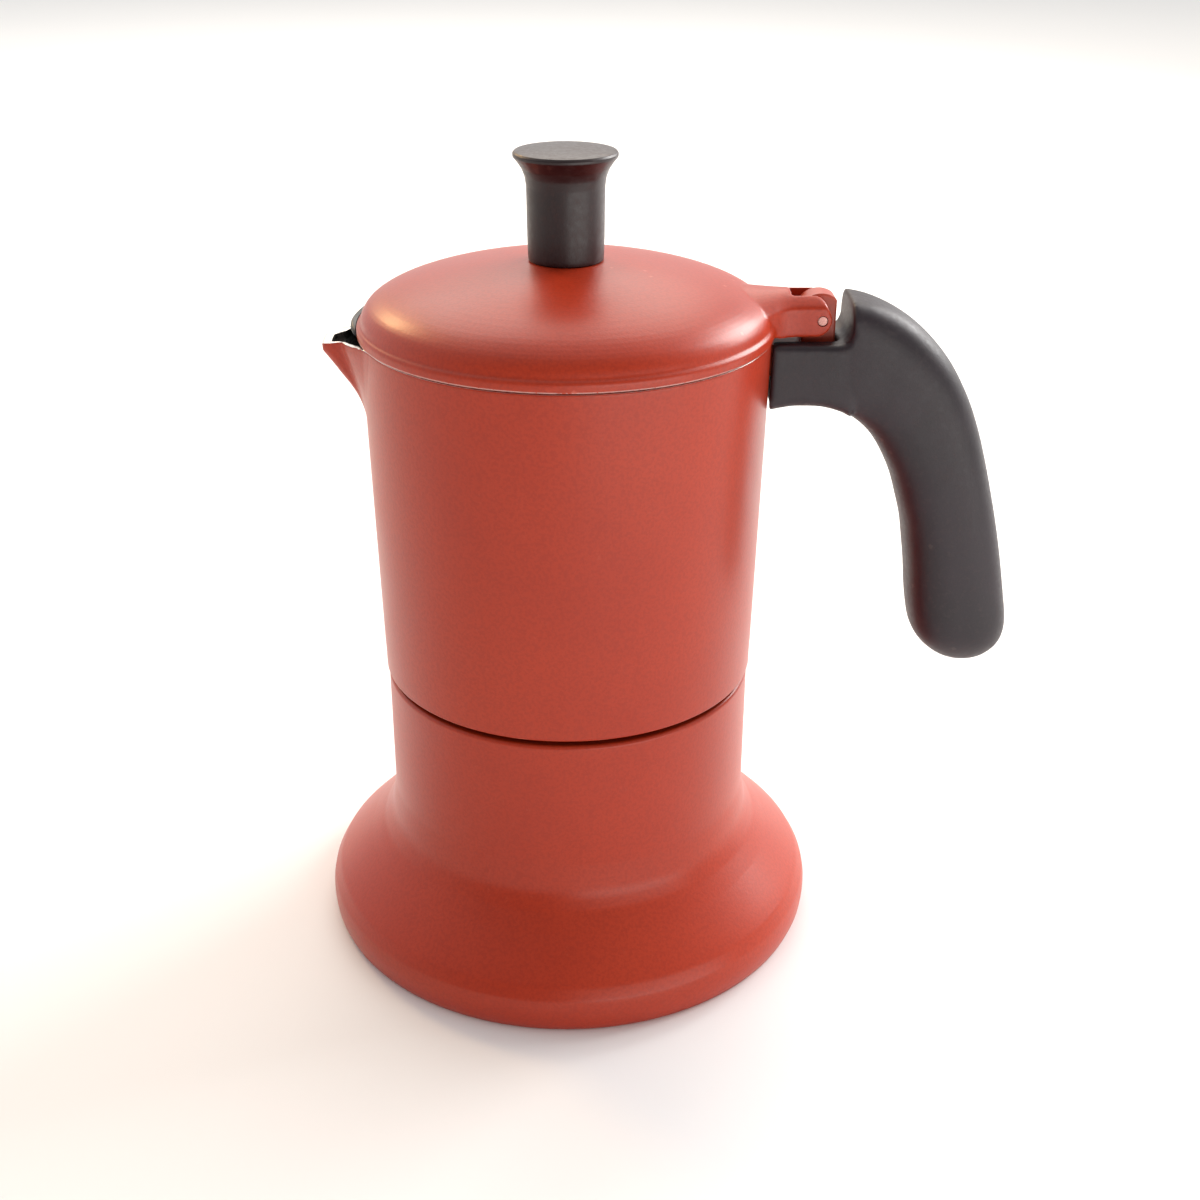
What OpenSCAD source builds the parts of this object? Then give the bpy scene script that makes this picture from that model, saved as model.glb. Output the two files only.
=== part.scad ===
// Stovetop moka coffee pot for three small cups, with a side spout and a hinged lid.
// Millimetres, Z up. The origin is the centre of the foot where it stands.
// +X points along the handle, -X along the spout, +Y to the safety valve.

/* [Boiler] */
// radius of the foot where it stands
foot_r = 52.95; // [48:0.05:58]
// largest radius of the flared foot
foot_max_r = 53.8; // [49:0.05:60]
// outer radius of the upright boiler wall
boiler_wall_r = 38.6; // [37:0.1:40]
// inner radius of the upright boiler wall
boiler_bore_r = 36.1; // [34:0.1:37]
// height of the shoulder under the screw joint
shoulder_z = 58.5; // [56:0.1:59.4]
// thickness of the boiler floor
floor_t = 3.2; // [2:0.1:5]
// outer radius of the neck that carries the screw thread
neck_r = 32.6; // [31:0.1:33]
// inner radius of the neck
neck_bore_r = 29.6; // [28.5:0.1:30]
// height of the neck rim
neck_top_z = 67.8; // [66:0.1:69]

/* [Screw joint] */
// rise of the thread in one full turn
thread_pitch = 4; // [3:0.5:5]
// number of turns of thread on each part
thread_turns = 1.5; // [1:0.25:2]
// crest radius of the thread on the neck
male_crest_r = 34.4; // [34:0.1:34.8]
// crest radius of the thread inside the collector skirt
female_crest_r = 33.3; // [33:0.1:33.6]
// bore radius of the collector skirt
skirt_bore_r = 35.2; // [35:0.1:36]

/* [Collector] */
// height of the lower edge of the collector
seam_z = 59.8; // [59:0.1:62]
// outer radius of the collector at its lower edge
seam_r = 39.0; // [38:0.1:40]
// height of the machined rim
rim_z = 131.5; // [125:0.5:138]
// outer radius at the rim
rim_r = 40.6; // [39.5:0.1:42]
// wall thickness at the rim
wall_t = 2.5; // [1.8:0.1:3]
// height of the seat that the gasket presses on
gasket_seat_z = 71.6; // [71:0.1:72.5]
// height of the top of the coffee riser
riser_top_z = 121; // [110:1:125]

/* [Spout] */
// reach of the spout tip from the pot axis
spout_reach = 48.1; // [44:0.1:52]
// height where the spout starts to leave the wall
spout_foot_z = 113; // [105:1:118]
// half width of the spout where it meets the wall at the rim
spout_half_w = 13.3; // [10:0.1:16]
// how far the pouring lip is lower than the rim
lip_drop = 1.5; // [0:0.1:3]

/* [Lid] */
// height of the lower edge of the lid
lid_z = 131.8; // [131.7:0.1:132.6]
// outer radius of the lid flange
lid_r = 41.2; // [41:0.1:42]
// thickness of the lid
lid_t = 1.5; // [1.2:0.1:2]
// height of the flat seat under the knob
knob_seat_z = 145.5; // [143:0.1:148]
// distance of the hinge pin from the pot axis
pin_x = 49.9; // [48:0.1:51]
// height of the hinge pin
pin_z = 134.7; // [134:0.1:136]
// radius of the hinge pin
pin_r = 1.05; // [0.8:0.05:1.5]
// width of the lid arm
arm_w = 12; // [10:0.5:14]
// width of the slot between the two ears of the lid arm
fork_w = 6; // [5:0.5:7]

/* [Knob] */
// radius of the knob shaft
knob_shaft_r = 7.5; // [6.5:0.1:9]
// radius of the knob rim
knob_rim_r = 10.1; // [9:0.1:12]
// height of the highest point of the knob
knob_top_z = 166.9; // [160:0.5:172]

/* [Handle] */
// half width of the grip
grip_half_w = 9.5; // [8:0.1:11]
// half width of the handle root beside the hinge
root_half_w = 8.3; // [8:0.1:8.5]
// underside of the handle root
root_low_z = 117.6; // [116:0.1:119]
// top of the handle root, under the lid arm
root_top_z = 130.4; // [129:0.1:131]
// distance of the upright face behind the hinge
crown_x = 55.6; // [54.6:0.1:57]

/* [Funnel] */
// outer radius of the coffee basket
basket_r = 27.3; // [26:0.1:28]
// depth of the coffee basket under its flange
basket_depth = 18.5; // [15:0.5:22]
// height of the lower end of the funnel stem
stem_low_z = 7; // [5:0.5:12]
// radius of the holes in the two strainers
strainer_hole_r = 0.8; // [0.6:0.05:1]

/* [Safety valve] */
// height of the safety valve
valve_z = 38; // [32:1:44]
// outlet face of the valve boss, from the pot axis
boss_y = 41.4; // [40:0.1:43]

/* [Hidden] */
tau_deg = 360;
fine = 96;
gap = 0.05;
floor_r = 46;
foot_top_z = 26.5;
tongue_from = 152;
tongue_span = 34;
wall_lean = (rim_r - seam_r) / (rim_z - seam_z);
bracket_half_w = 4.2;
bracket_low_z = 123;
bracket_top_z = 129.4;
bracket_end_x = 53;
screw_x = 49.3;
sieve_z = neck_top_z - basket_depth + 1.4;
flange_top_z = neck_top_z + 0.7;
section_points = 20;
helix_step = 10;

// upper and outer side of the grip, as [distance, height] pairs from the hinge downwards
grip_outer = [
    [crown_x, 138.6], [60.5, 137.6], [66.1, 135.1], [71.5, 131.1], [76.6, 125.4], [80.7, 118.4],
    [83.5, 111.7], [85.7, 104.8], [87.9, 96.8], [89.7, 89.7], [91.3, 82.4], [92.6, 75.6],
    [93.6, 70.0], [93.8, 66.4], [93.0, 63.3], [90.9, 60.7], [88.2, 59.2]
];

// under and inner side of the grip, facing the pot
grip_inner = [
    [crown_x, 115.9], [56.8, 114.8], [59.1, 112.9], [61.4, 110.5], [63.4, 107.6], [65.3, 104.1],
    [66.9, 100.5], [68.3, 96.1], [69.8, 90.8], [70.7, 85.5], [71.5, 80.3], [72.1, 75.0],
    [72.9, 70.0], [73.9, 66.2], [75.9, 63.1], [78.9, 60.5], [81.9, 59.2]
];

// share of the grip half width at each of those sections
grip_width = [
    0.92, 0.94, 0.95, 0.97, 0.97, 0.98, 0.98, 1, 1, 1, 1, 1, 1, 0.97, 0.86, 0.65, 0.36
];

// how square each section is: 4 is a rounded box, 2 is an ellipse
grip_square = [
    5, 4, 3.3, 2.9, 2.8, 2.7, 2.6, 2.6, 2.6, 2.6, 2.6, 2.6, 2.6, 2.5, 2.4, 2.2, 2.1
];

// plan outline of the spout: share of the reach, share of the half width
spout_plan = [
    [0, 1], [0.15, 0.88], [0.3, 0.74], [0.42, 0.58], [0.53, 0.43], [0.75, 0.375], [0.92, 0.34], [1, 0.26]
];

// ---------- shared shapes ----------

function collector_r(z) = seam_r + wall_lean * (z - seam_z);

function signed_power(c, n) = sign(c) * pow(abs(c), n);

// one corner of a thread ridge section; k walks round the trapezoid
function ridge_corner(k, root_r, crest_r, root_h, crest_h) =
    k == 0 ? [root_r, -root_h] :
    k == 1 ? [crest_r, -crest_h] :
    k == 2 ? [crest_r, crest_h] : [root_r, root_h];

// joins rings of n points, first ring to last, into the faces of a closed body
function ring_faces(rings, n) = concat(
    [[for (i = [0 : n - 1]) n - 1 - i]],
    [for (j = [0 : rings - 2]) for (i = [0 : n - 1])
        [j * n + i, j * n + (i + 1) % n, (j + 1) * n + i]],
    [for (j = [0 : rings - 2]) for (i = [0 : n - 1])
        [j * n + (i + 1) % n, (j + 1) * n + (i + 1) % n, (j + 1) * n + i]],
    [[for (i = [0 : n - 1]) (rings - 1) * n + i]]
);

// right-hand helical ridge; the axial centre starts at low_z
module thread_ridge(root_r, crest_r, low_z, flip) {
    steps = ceil(thread_turns * tau_deg / helix_step);
    points = [
        for (j = [0 : steps]) for (k = [0 : 3])
            let (
                a = j * helix_step,
                end = min(j, steps - j),
                fade = min(1, 0.15 + end / 4),
                c = ridge_corner(k, root_r, root_r + (crest_r - root_r) * fade, 1.1, 0.5)
            )
            [c[0] * cos(a), c[0] * sin(a), low_z + thread_pitch * a / tau_deg + c[1]]
    ];
    faces = ring_faces(steps + 1, 4);
    polyhedron(
        points = points,
        faces = flip ? [for (f = faces) [for (i = [len(f) - 1 : -1 : 0]) f[i]]] : faces,
        convexity = 10
    );
}

// rings of round holes, for the strainers
module hole_rings(rings, spacing, low_z, high_z) {
    translate([0, 0, low_z])
        cylinder(h = high_z - low_z, r = strainer_hole_r);
    for (ring = [1 : rings])
        for (k = [0 : 6 * ring - 1])
            rotate([0, 0, k * 60 / ring])
                translate([ring * spacing, 0, low_z])
                    cylinder(h = high_z - low_z, r = strainer_hole_r);
}

// a round bar lying along Y, from y0 to y1
module bar_y(x, z, y0, y1, r) {
    translate([x, y0, z])
        rotate([-90, 0, 0])
            cylinder(h = y1 - y0, r = r, $fn = fine);
}

// body of the spout or its channel, grown from low_z up to past the rim
module spout_loft(low_z, root_x, reach, half_w) {
    last = len(spout_plan) - 1;
    levels = [0, 0.06, 0.18, 0.32, 0.46, 0.6, 0.74, 0.88, 1, 1.2];
    points = [
        for (t = levels) for (k = [0 : 2 * last + 1])
            let (
                s = max(0.02, min(t, 1)),
                side = k <= last ? -1 : 1,
                p = spout_plan[k <= last ? k : 2 * last + 1 - k],
                grow = pow(s, 1.6)
            )
            [-(root_x + (reach - root_x) * (0.12 + 0.88 * grow) * p[0]),
             side * half_w * pow(s, 0.6) * p[1],
             low_z + (rim_z - lip_drop - low_z) * t]
    ];
    polyhedron(points = points, faces = ring_faces(len(levels), 2 * last + 2), convexity = 6);
}

// ---------- boiler ----------

module boiler_casting() {
    color([0.80, 0.32, 0.26])
    difference() {
        union() {
            rotate_extrude($fn = fine)
                polygon([
                    [0, 0], [foot_r, 0], [foot_max_r - 0.2, 2], [foot_max_r, 4], [foot_max_r - 0.05, 6],
                    [53.2, 8], [52, 10], [49.5, 12.5], [47, 15], [44.6, 17.5], [42.3, 20],
                    [40.4, 22.6], [39.3, 25.4], [38.8, 28.6], [boiler_wall_r, 33],
                    [boiler_wall_r, shoulder_z - 1], [boiler_wall_r - 0.6, shoulder_z],
                    [neck_r + 0.4, shoulder_z], [neck_r, shoulder_z + 0.4],
                    [neck_r, neck_top_z - 0.5], [neck_r - 0.5, neck_top_z], [0, neck_top_z]
                ]);
            thread_ridge(neck_r - 0.4, male_crest_r, 60.7, false);
            translate([0, 36.4, valve_z])
                rotate([-90, 0, 0])
                    cylinder(h = boss_y - 36.4, r = 8.2, $fn = fine);
        }
        rotate_extrude($fn = fine)
            polygon([
                [0, -1], [floor_r, -1], [floor_r, floor_t], [48.6, 4.4], [49.6, 6.2], [49.2, 8],
                [47.4, 10.4], [45, 12.8], [42.5, 15.3], [40.1, 17.9], [38.1, 20.6], [36.9, 23.4],
                [36.3, 27], [boiler_bore_r, 32], [boiler_bore_r, 51.5], [34.4, 53.8], [neck_bore_r, 56.2],
                [neck_bore_r, neck_top_z + 2], [0, neck_top_z + 2]
            ]);
        translate([0, 30, valve_z])
            rotate([-90, 0, 0])
                cylinder(h = 20, r = 5 + gap, $fn = fine);
    }
}

// the casting is drawn as three solids that meet face to face, so that its hollow stays open:
// the upright wall with the neck, the flared foot, and the flat floor
module boiler() {
    difference() {
        boiler_casting();
        translate([0, 0, -1])
            cylinder(h = foot_top_z + 1, r = 60);
    }
}

module boiler_foot() {
    intersection() {
        boiler_casting();
        cylinder(h = foot_top_z, r = 60);
    }
}

module boiler_floor() {
    color([0.80, 0.32, 0.26])
    cylinder(h = floor_t, r = floor_r, $fn = fine);
}

module valve_body() {
    color([0.80, 0.62, 0.30])
    translate([0, 0, valve_z])
        rotate([-90, 0, 0])
            difference() {
                union() {
                    translate([0, 0, 34.6])
                        cylinder(h = boss_y - 34.6 + 1, r = 5, $fn = fine);
                    translate([0, 0, boss_y + 0.8])
                        cylinder(h = 4.8, r = 7.6, $fn = 6);
                }
                translate([0, 0, 34])
                    cylinder(h = 3, r = 1.7, $fn = fine);
                translate([0, 0, 36])
                    cylinder(h = 14, r = 3.2, $fn = fine);
            }
}

module valve_seal() {
    color([0.55, 0.16, 0.12])
    translate([0, boss_y, valve_z])
        rotate([-90, 0, 0])
            difference() {
                cylinder(h = 0.8, r = 7.2, $fn = fine);
                translate([0, 0, -1])
                    cylinder(h = 3, r = 5 + gap, $fn = fine);
            }
}

module valve_plunger() {
    color([0.75, 0.75, 0.76])
    translate([0, 0, valve_z])
        rotate([-90, 0, 0])
            rotate_extrude($fn = fine)
                polygon([
                    [0, 34.8], [1, 34.8], [1.5, 35.3], [1.5, 36], [2.8, 36], [2.8, 37.2],
                    [1.1, 37.2], [1.1, 48.2], [0.7, 48.6], [0, 48.6]
                ]);
}

// coil drawn at its blow-off length, so the plunger can travel
module valve_spring() {
    coils = 4.5;
    wire_r = 0.28;
    coil_r = 2.2;
    steps = 72;
    low = 37.25 + wire_r;
    rise = 5.2 - 2 * wire_r;
    sides = 6;
    points = [
        for (j = [0 : steps]) for (k = [0 : sides - 1])
            let (
                a = coils * tau_deg * j / steps,
                b = k * tau_deg / sides,
                r = coil_r + wire_r * cos(b)
            )
            [r * cos(a), r * sin(a), low + rise * j / steps + wire_r * sin(b)]
    ];
    color([0.72, 0.72, 0.74])
    translate([0, 0, valve_z])
        rotate([-90, 0, 0])
            polyhedron(points = points, faces = ring_faces(steps + 1, sides), convexity = 10);
}

module valve_cap() {
    color([0.80, 0.62, 0.30])
    translate([0, 0, valve_z])
        rotate([-90, 0, 0])
            difference() {
                translate([0, 0, 44.4])
                    cylinder(h = 1.5, r = 3.2 - gap, $fn = fine);
                translate([0, 0, 44])
                    cylinder(h = 3, r = 1.35, $fn = fine);
            }
}

// ---------- funnel and strainer stack ----------

module funnel() {
    low = neck_top_z - basket_depth;
    color([0.80, 0.80, 0.82])
    rotate_extrude($fn = fine)
        polygon([
            [basket_r - 0.8, flange_top_z], [32, flange_top_z], [32, neck_top_z + 0.02],
            [basket_r, neck_top_z + 0.02], [basket_r, low + 1.2], [basket_r - 1.2, low],
            [7, low - 1.8], [4.8, low - 4], [4.8, stem_low_z], [4, stem_low_z],
            [4, low - 3.4], [6.4, low - 1], [25.2, low + 0.8], [basket_r - 0.8, sieve_z - 0.6],
            [basket_r - 0.8, sieve_z]
        ]);
}

module funnel_sieve() {
    color([0.78, 0.78, 0.80])
    difference() {
        translate([0, 0, sieve_z])
            cylinder(h = 0.6, r = basket_r - 0.8 - gap, $fn = fine);
        hole_rings(5, 4.6, sieve_z - 1, sieve_z + 2);
    }
}

module gasket() {
    color([0.93, 0.93, 0.90])
    rotate_extrude($fn = fine)
        polygon([
            [26.6, flange_top_z + 0.02], [32.5, flange_top_z + 0.02], [32.9, flange_top_z + 0.4],
            [32.9, gasket_seat_z - 0.4], [32.5, gasket_seat_z], [26.6, gasket_seat_z]
        ]);
}

module filter_plate() {
    color([0.78, 0.78, 0.80])
    difference() {
        translate([0, 0, gasket_seat_z + 0.02])
            cylinder(h = 0.8, r = 28, $fn = fine);
        hole_rings(5, 4.6, gasket_seat_z - 1, gasket_seat_z + 3);
    }
}

// ---------- collector ----------

module collector() {
    color([0.80, 0.32, 0.26])
    union() {
        difference() {
            union() {
                rotate_extrude($fn = fine)
                    polygon([
                        [0, seam_z], [seam_r - 0.3, seam_z], [seam_r, seam_z + 0.3],
                        [collector_r(rim_z + 2), rim_z + 2], [0, rim_z + 2]
                    ]);
                spout_loft(spout_foot_z, rim_r - 2, spout_reach, spout_half_w);
                translate([38.8, -bracket_half_w, bracket_low_z])
                    cube([bracket_end_x - 38.8, 2 * bracket_half_w, bracket_top_z - bracket_low_z]);
            }
            // room for brewed coffee, with the floor rising to the riser
            rotate_extrude($fn = fine)
                polygon([
                    [4.9 + gap, 70], [4.9 + gap, 78], [8, 78], [20, 76.8], [32, 75.4],
                    [35.4, 76.2], [36.8, 78.6], [collector_r(84) - wall_t, 84],
                    [collector_r(rim_z + 3) - wall_t, rim_z + 3], [0, rim_z + 3], [0, 70]
                ]);
            // skirt, gasket seat, strainer seat and the chamber over the strainer
            rotate_extrude($fn = fine)
                polygon([
                    [0, seam_z - 1], [skirt_bore_r, seam_z - 1], [skirt_bore_r, 68.9],
                    [33, 69.2], [33, gasket_seat_z], [28.2, gasket_seat_z],
                    [28.2, gasket_seat_z + 0.9], [26.6, gasket_seat_z + 0.9], [8, 74.6], [0, 75.4]
                ]);
            spout_loft(spout_foot_z + 3.2, 36, spout_reach - 1.9, spout_half_w - 2.6);
            // machined rim, and the pouring lip that drops towards the tip
            translate([-70, -70, rim_z])
                cube([140, 140, 10]);
            translate([-rim_r, 0, rim_z])
                rotate([0, -asin(lip_drop / (spout_reach - rim_r)), 0])
                    translate([-20, -20, 0])
                        cube([20, 40, 8]);
            translate([screw_x, 0, bracket_low_z - 1])
                cylinder(h = 6.4, r = 2, $fn = fine);
        }
        // thread inside the skirt, half a pitch over the one on the neck
        thread_ridge(skirt_bore_r + 0.4, female_crest_r, 60.7 + thread_pitch / 2, true);
        hinge_knuckle();
    }
}

// upright tongue that stands between the ears of the lid arm
module hinge_knuckle() {
    half = fork_w / 2 - 0.25;
    difference() {
        intersection() {
            union() {
                bar_y(pin_x, pin_z, -half, half, 4.6);
                translate([pin_x - 3.5, -half, bracket_top_z - 1])
                    cube([8, 2 * half, pin_z - bracket_top_z + 1]);
            }
            translate([pin_x - 10, -10, bracket_top_z - 1])
                cube([bracket_end_x - pin_x + 10, 20, 14]);
        }
        bar_y(pin_x, pin_z, -10, 10, pin_r + 0.07);
    }
}

module riser_tube() {
    color([0.80, 0.80, 0.82])
    difference() {
        rotate_extrude($fn = fine)
            polygon([
                [3.4, 75.6], [4.9, 75.6], [4.9, 78.02], [7.4, 78.02], [7.4, 79.2], [5.9, 80.4],
                [5.4, 83], [4.7, riser_top_z], [3.4, riser_top_z]
            ]);
        for (side = [0, 180])
            rotate([0, 0, side + 90])
                translate([2, -1.8, riser_top_z - 7])
                    cube([6, 3.6, 4.5]);
    }
}

module riser_cap() {
    color([0.80, 0.80, 0.82])
    rotate_extrude($fn = fine)
        polygon([
            [0, riser_top_z - 2], [2.8, riser_top_z - 2], [3.35, riser_top_z - 1.6],
            [3.35, riser_top_z + 0.02], [5.2, riser_top_z + 0.02], [5.2, riser_top_z + 0.8],
            [3.6, riser_top_z + 1.9], [0, riser_top_z + 2.4]
        ]);
}

// ---------- lid ----------

module lid() {
    color([0.80, 0.32, 0.26])
    difference() {
        union() {
            rotate_extrude($fn = fine)
                polygon([
                    [0, lid_z], [lid_r - 0.2, lid_z], [lid_r, lid_z + 0.3], [lid_r - 0.05, lid_z + 1.6],
                    [40.5, 134.3], [40.1, 135.7], [39.3, 137], [37.9, 138.1], [35, 139.7],
                    [31, 141.1], [26, 142.4], [20, 143.7], [14, 144.7], [7.9, 145.35],
                    [7.6, knob_seat_z], [0, knob_seat_z]
                ]);
            lid_arm();
        }
        // hollow underside
        rotate_extrude($fn = fine)
            polygon([
                [0, lid_z - 4], [39.15, lid_z - 4], [39.15, 133.9], [38.5, 135.2], [37, 136.6],
                [34.5, 138.1], [31, 139.5], [26, 140.8], [20, 142.1], [14, 143.1], [7, 144],
                [0, 144]
            ]);
        // the arm stays over the rim
        translate([0, 0, lid_z - 4])
            cylinder(h = 4, r = lid_r + 0.1, $fn = fine);
        cylinder(h = 200, r = 1.9, $fn = fine);
    }
}

module lid_arm() {
    difference() {
        intersection() {
            union() {
                translate([33, 0, 0])
                    rotate([90, 0, 90])
                        linear_extrude(height = 22)
                            intersection() {
                                translate([-arm_w / 2, pin_z - 3.3])
                                    square([arm_w, 12]);
                                translate([0, 131.5])
                                    circle(r = 8.35, $fn = fine);
                            }
                translate([0, 0, lid_z])
                    linear_extrude(height = 5.1)
                        polygon([
                            [34, -12], [38.5, -11], [41, -8.4], [43.6, -arm_w / 2],
                            [43.6, arm_w / 2], [41, 8.4], [38.5, 11], [34, 12]
                        ]);
            }
            union() {
                translate([30, -20, 125])
                    cube([pin_x - 1.4 - 30, 40, 30]);
                bar_y(pin_x - 1.4, pin_z, -10, 10, 3.4);
                bar_y(pin_x - 3.3, pin_z - 0.1, -10, 10, 5.3);
            }
            translate([30, -20, pin_z - 3.3])
                cube([40, 40, 20]);
        }
        translate([pin_x, -fork_w / 2, pin_z - 10])
            cube([10, fork_w, 20]);
        translate([pin_x - 5.8, -fork_w / 2, pin_z + 1])
            cube([10, fork_w, 10]);
        bar_y(pin_x, pin_z, -fork_w / 2, fork_w / 2, 5);
        bar_y(pin_x, pin_z, -10, 10, pin_r + 0.02);
        bar_y(pin_x, pin_z, -10, 0.5 - arm_w / 2, 1.3);
        bar_y(pin_x, pin_z, arm_w / 2 - 0.5, 10, 1.3);
    }
}

// black ring under the lid, with a small tongue that covers the mouth of the spout
module lid_seal() {
    color([0.06, 0.06, 0.06])
    union() {
        rotate_extrude($fn = fine)
            polygon([
                [36.6, 130.4], [37.4, 130.4], [37.7, rim_z + 0.02], [39.7, rim_z + 0.02],
                [39.7, lid_z - 0.02], [39.1, lid_z - 0.02], [39.1, 133.6], [36.6, 133.6]
            ]);
        rotate([0, 0, tongue_from])
            rotate_extrude(angle = tongue_span, $fn = fine)
                polygon([
                    [39.4, rim_z + 0.02], [42.7, rim_z + 0.02], [42.7, rim_z + 1.7], [42.4, rim_z + 1.8],
                    [41.35, rim_z + 1.8], [41.35, lid_z - 0.02], [39.4, lid_z - 0.02]
                ]);
    }
}

module hinge_pin() {
    color([0.72, 0.70, 0.66])
    bar_y(pin_x, pin_z, 0.15 - arm_w / 2, arm_w / 2 - 0.15, pin_r);
}

// ---------- knob ----------

module knob() {
    color([0.10, 0.08, 0.08])
    difference() {
        rotate_extrude($fn = fine)
            polygon([
                [0, knob_seat_z + 0.02], [knob_shaft_r - 0.4, knob_seat_z + 0.02],
                [knob_shaft_r - 0.14, knob_seat_z + 0.3], [knob_shaft_r, 150], [knob_shaft_r + 0.05, 156],
                [knob_shaft_r + 0.1, 159.6], [knob_shaft_r + 0.3, 161.4], [knob_shaft_r + 0.8, 162.8],
                [knob_shaft_r + 1.7, 164.2], [knob_rim_r - 0.1, 165.3], [knob_rim_r, 165.8],
                [knob_rim_r - 0.3, 166.2], [knob_rim_r - 1, 166.4], [6, 166.75], [0, knob_top_z]
            ]);
        translate([0, 0, knob_seat_z - 1])
            cylinder(h = 11.2, r = 3 + gap, $fn = fine);
    }
}

module knob_insert() {
    color([0.80, 0.62, 0.30])
    difference() {
        translate([0, 0, knob_seat_z + 0.1])
            cylinder(h = 10, r = 3, $fn = fine);
        translate([0, 0, knob_seat_z - 1])
            cylinder(h = 9.6, r = 1.7 + gap, $fn = fine);
    }
}

module knob_screw() {
    color([0.75, 0.75, 0.76])
    difference() {
        union() {
            translate([0, 0, 143])
                cylinder(h = 10.6, r = 1.7, $fn = fine);
            translate([0, 0, 141.6])
                cylinder(h = 1.7, r = 3.4, $fn = fine);
        }
        for (turn = [0, 90])
            rotate([0, 0, turn])
                translate([-2.2, -0.4, 141])
                    cube([4.4, 0.8, 1.5]);
    }
}

module knob_washer() {
    color([0.75, 0.75, 0.76])
    difference() {
        translate([0, 0, 143.35])
            cylinder(h = 0.6, r = 4.6, $fn = fine);
        translate([0, 0, 142])
            cylinder(h = 4, r = 1.7 + gap, $fn = fine);
    }
}

// ---------- handle ----------

function grip_mid(j) = (grip_outer[j] + grip_inner[j]) / 2;

function grip_arm(j) = (grip_outer[j] - grip_inner[j]) / 2;

module grip_sweep() {
    last = len(grip_outer) - 1;
    points = [
        for (j = [0 : last]) for (k = [0 : section_points - 1])
            let (
                a = k * tau_deg / section_points,
                n = 2 / grip_square[j],
                u = signed_power(cos(a), n),
                v = signed_power(sin(a), n),
                p = grip_mid(j) + grip_arm(j) * u
            )
            [p[0], grip_half_w * grip_width[j] * v, p[1]]
    ];
    polyhedron(points = points, faces = ring_faces(last + 1, section_points), convexity = 6);
}

module handle() {
    corner = 3.2;
    root_start_x = 38.5;
    color([0.10, 0.08, 0.08])
    difference() {
        union() {
            grip_sweep();
            translate([root_start_x, 0, (root_low_z + 0.15 + root_top_z) / 2])
                rotate([90, 0, 90])
                    linear_extrude(height = crown_x - root_start_x + 1)
                        rounded_slab(root_half_w, (root_top_z - root_low_z - 0.15) / 2, corner);
        }
        // the root follows the pot wall with a thin gap
        translate([0, 0, 100])
            cylinder(h = 60, r1 = collector_r(100) + 0.35, r2 = collector_r(160) + 0.35, $fn = fine);
        // pocket for the bracket of the collector
        translate([38, -bracket_half_w - 0.1, bracket_low_z - 0.05])
            cube([bracket_end_x + 0.3 - 38, 2 * bracket_half_w + 0.2, 12]);
        translate([screw_x, 0, root_low_z - 2])
            cylinder(h = 10, r = 2.15, $fn = fine);
        translate([screw_x, 0, root_low_z - 2])
            cylinder(h = 4.6, r = 3.8, $fn = fine);
    }
}

module rounded_slab(half_w, half_h, corner) {
    square([2 * half_w, 2 * (half_h - corner)], center = true);
    square([2 * (half_w - corner), 2 * half_h], center = true);
    for (sx = [-1, 1])
        for (sy = [-1, 1])
            translate([sx * (half_w - corner), sy * (half_h - corner)])
                circle(r = corner, $fn = fine);
}

module handle_screw() {
    color([0.75, 0.75, 0.76])
    difference() {
        union() {
            translate([screw_x, 0, 117.9])
                cylinder(h = 1.75, r = 3.3, $fn = fine);
            translate([screw_x, 0, 119])
                cylinder(h = 8.8, r = 1.95, $fn = fine);
        }
        translate([screw_x - 2.2, -0.4, 117.5])
            cube([4.4, 0.8, 1.4]);
    }
}

module handle_washer() {
    color([0.75, 0.75, 0.76])
    difference() {
        translate([screw_x, 0, 119.67])
            cylinder(h = 0.5, r = 3.7, $fn = fine);
        translate([screw_x, 0, 118])
            cylinder(h = 4, r = 1.95 + gap, $fn = fine);
    }
}

boiler();
boiler_foot();
boiler_floor();
valve_body();
valve_seal();
valve_plunger();
valve_spring();
valve_cap();
funnel();
funnel_sieve();
gasket();
filter_plate();
collector();
riser_tube();
riser_cap();
lid();
lid_seal();
hinge_pin();
knob();
knob_insert();
knob_screw();
knob_washer();
handle();
handle_screw();
handle_washer();
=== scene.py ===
"""Stovetop moka pot: detailed looks for every visible piece, on the fixed CAD frame."""
import math
import bmesh
import bpy
from mathutils import Matrix, Vector


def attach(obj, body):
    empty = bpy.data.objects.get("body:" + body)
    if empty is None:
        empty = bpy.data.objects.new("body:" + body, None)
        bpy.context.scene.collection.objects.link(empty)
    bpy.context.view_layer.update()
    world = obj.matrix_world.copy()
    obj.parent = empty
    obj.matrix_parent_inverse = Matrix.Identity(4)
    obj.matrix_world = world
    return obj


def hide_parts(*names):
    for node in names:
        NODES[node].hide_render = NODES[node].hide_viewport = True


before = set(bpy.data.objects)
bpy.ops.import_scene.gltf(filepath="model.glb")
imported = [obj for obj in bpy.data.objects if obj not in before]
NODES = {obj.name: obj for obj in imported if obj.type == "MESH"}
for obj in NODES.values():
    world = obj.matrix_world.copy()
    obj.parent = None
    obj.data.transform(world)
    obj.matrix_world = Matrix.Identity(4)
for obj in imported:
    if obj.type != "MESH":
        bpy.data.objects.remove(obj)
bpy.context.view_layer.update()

bpy.context.scene.view_settings.view_transform = "Standard"

MM = 0.001

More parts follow.
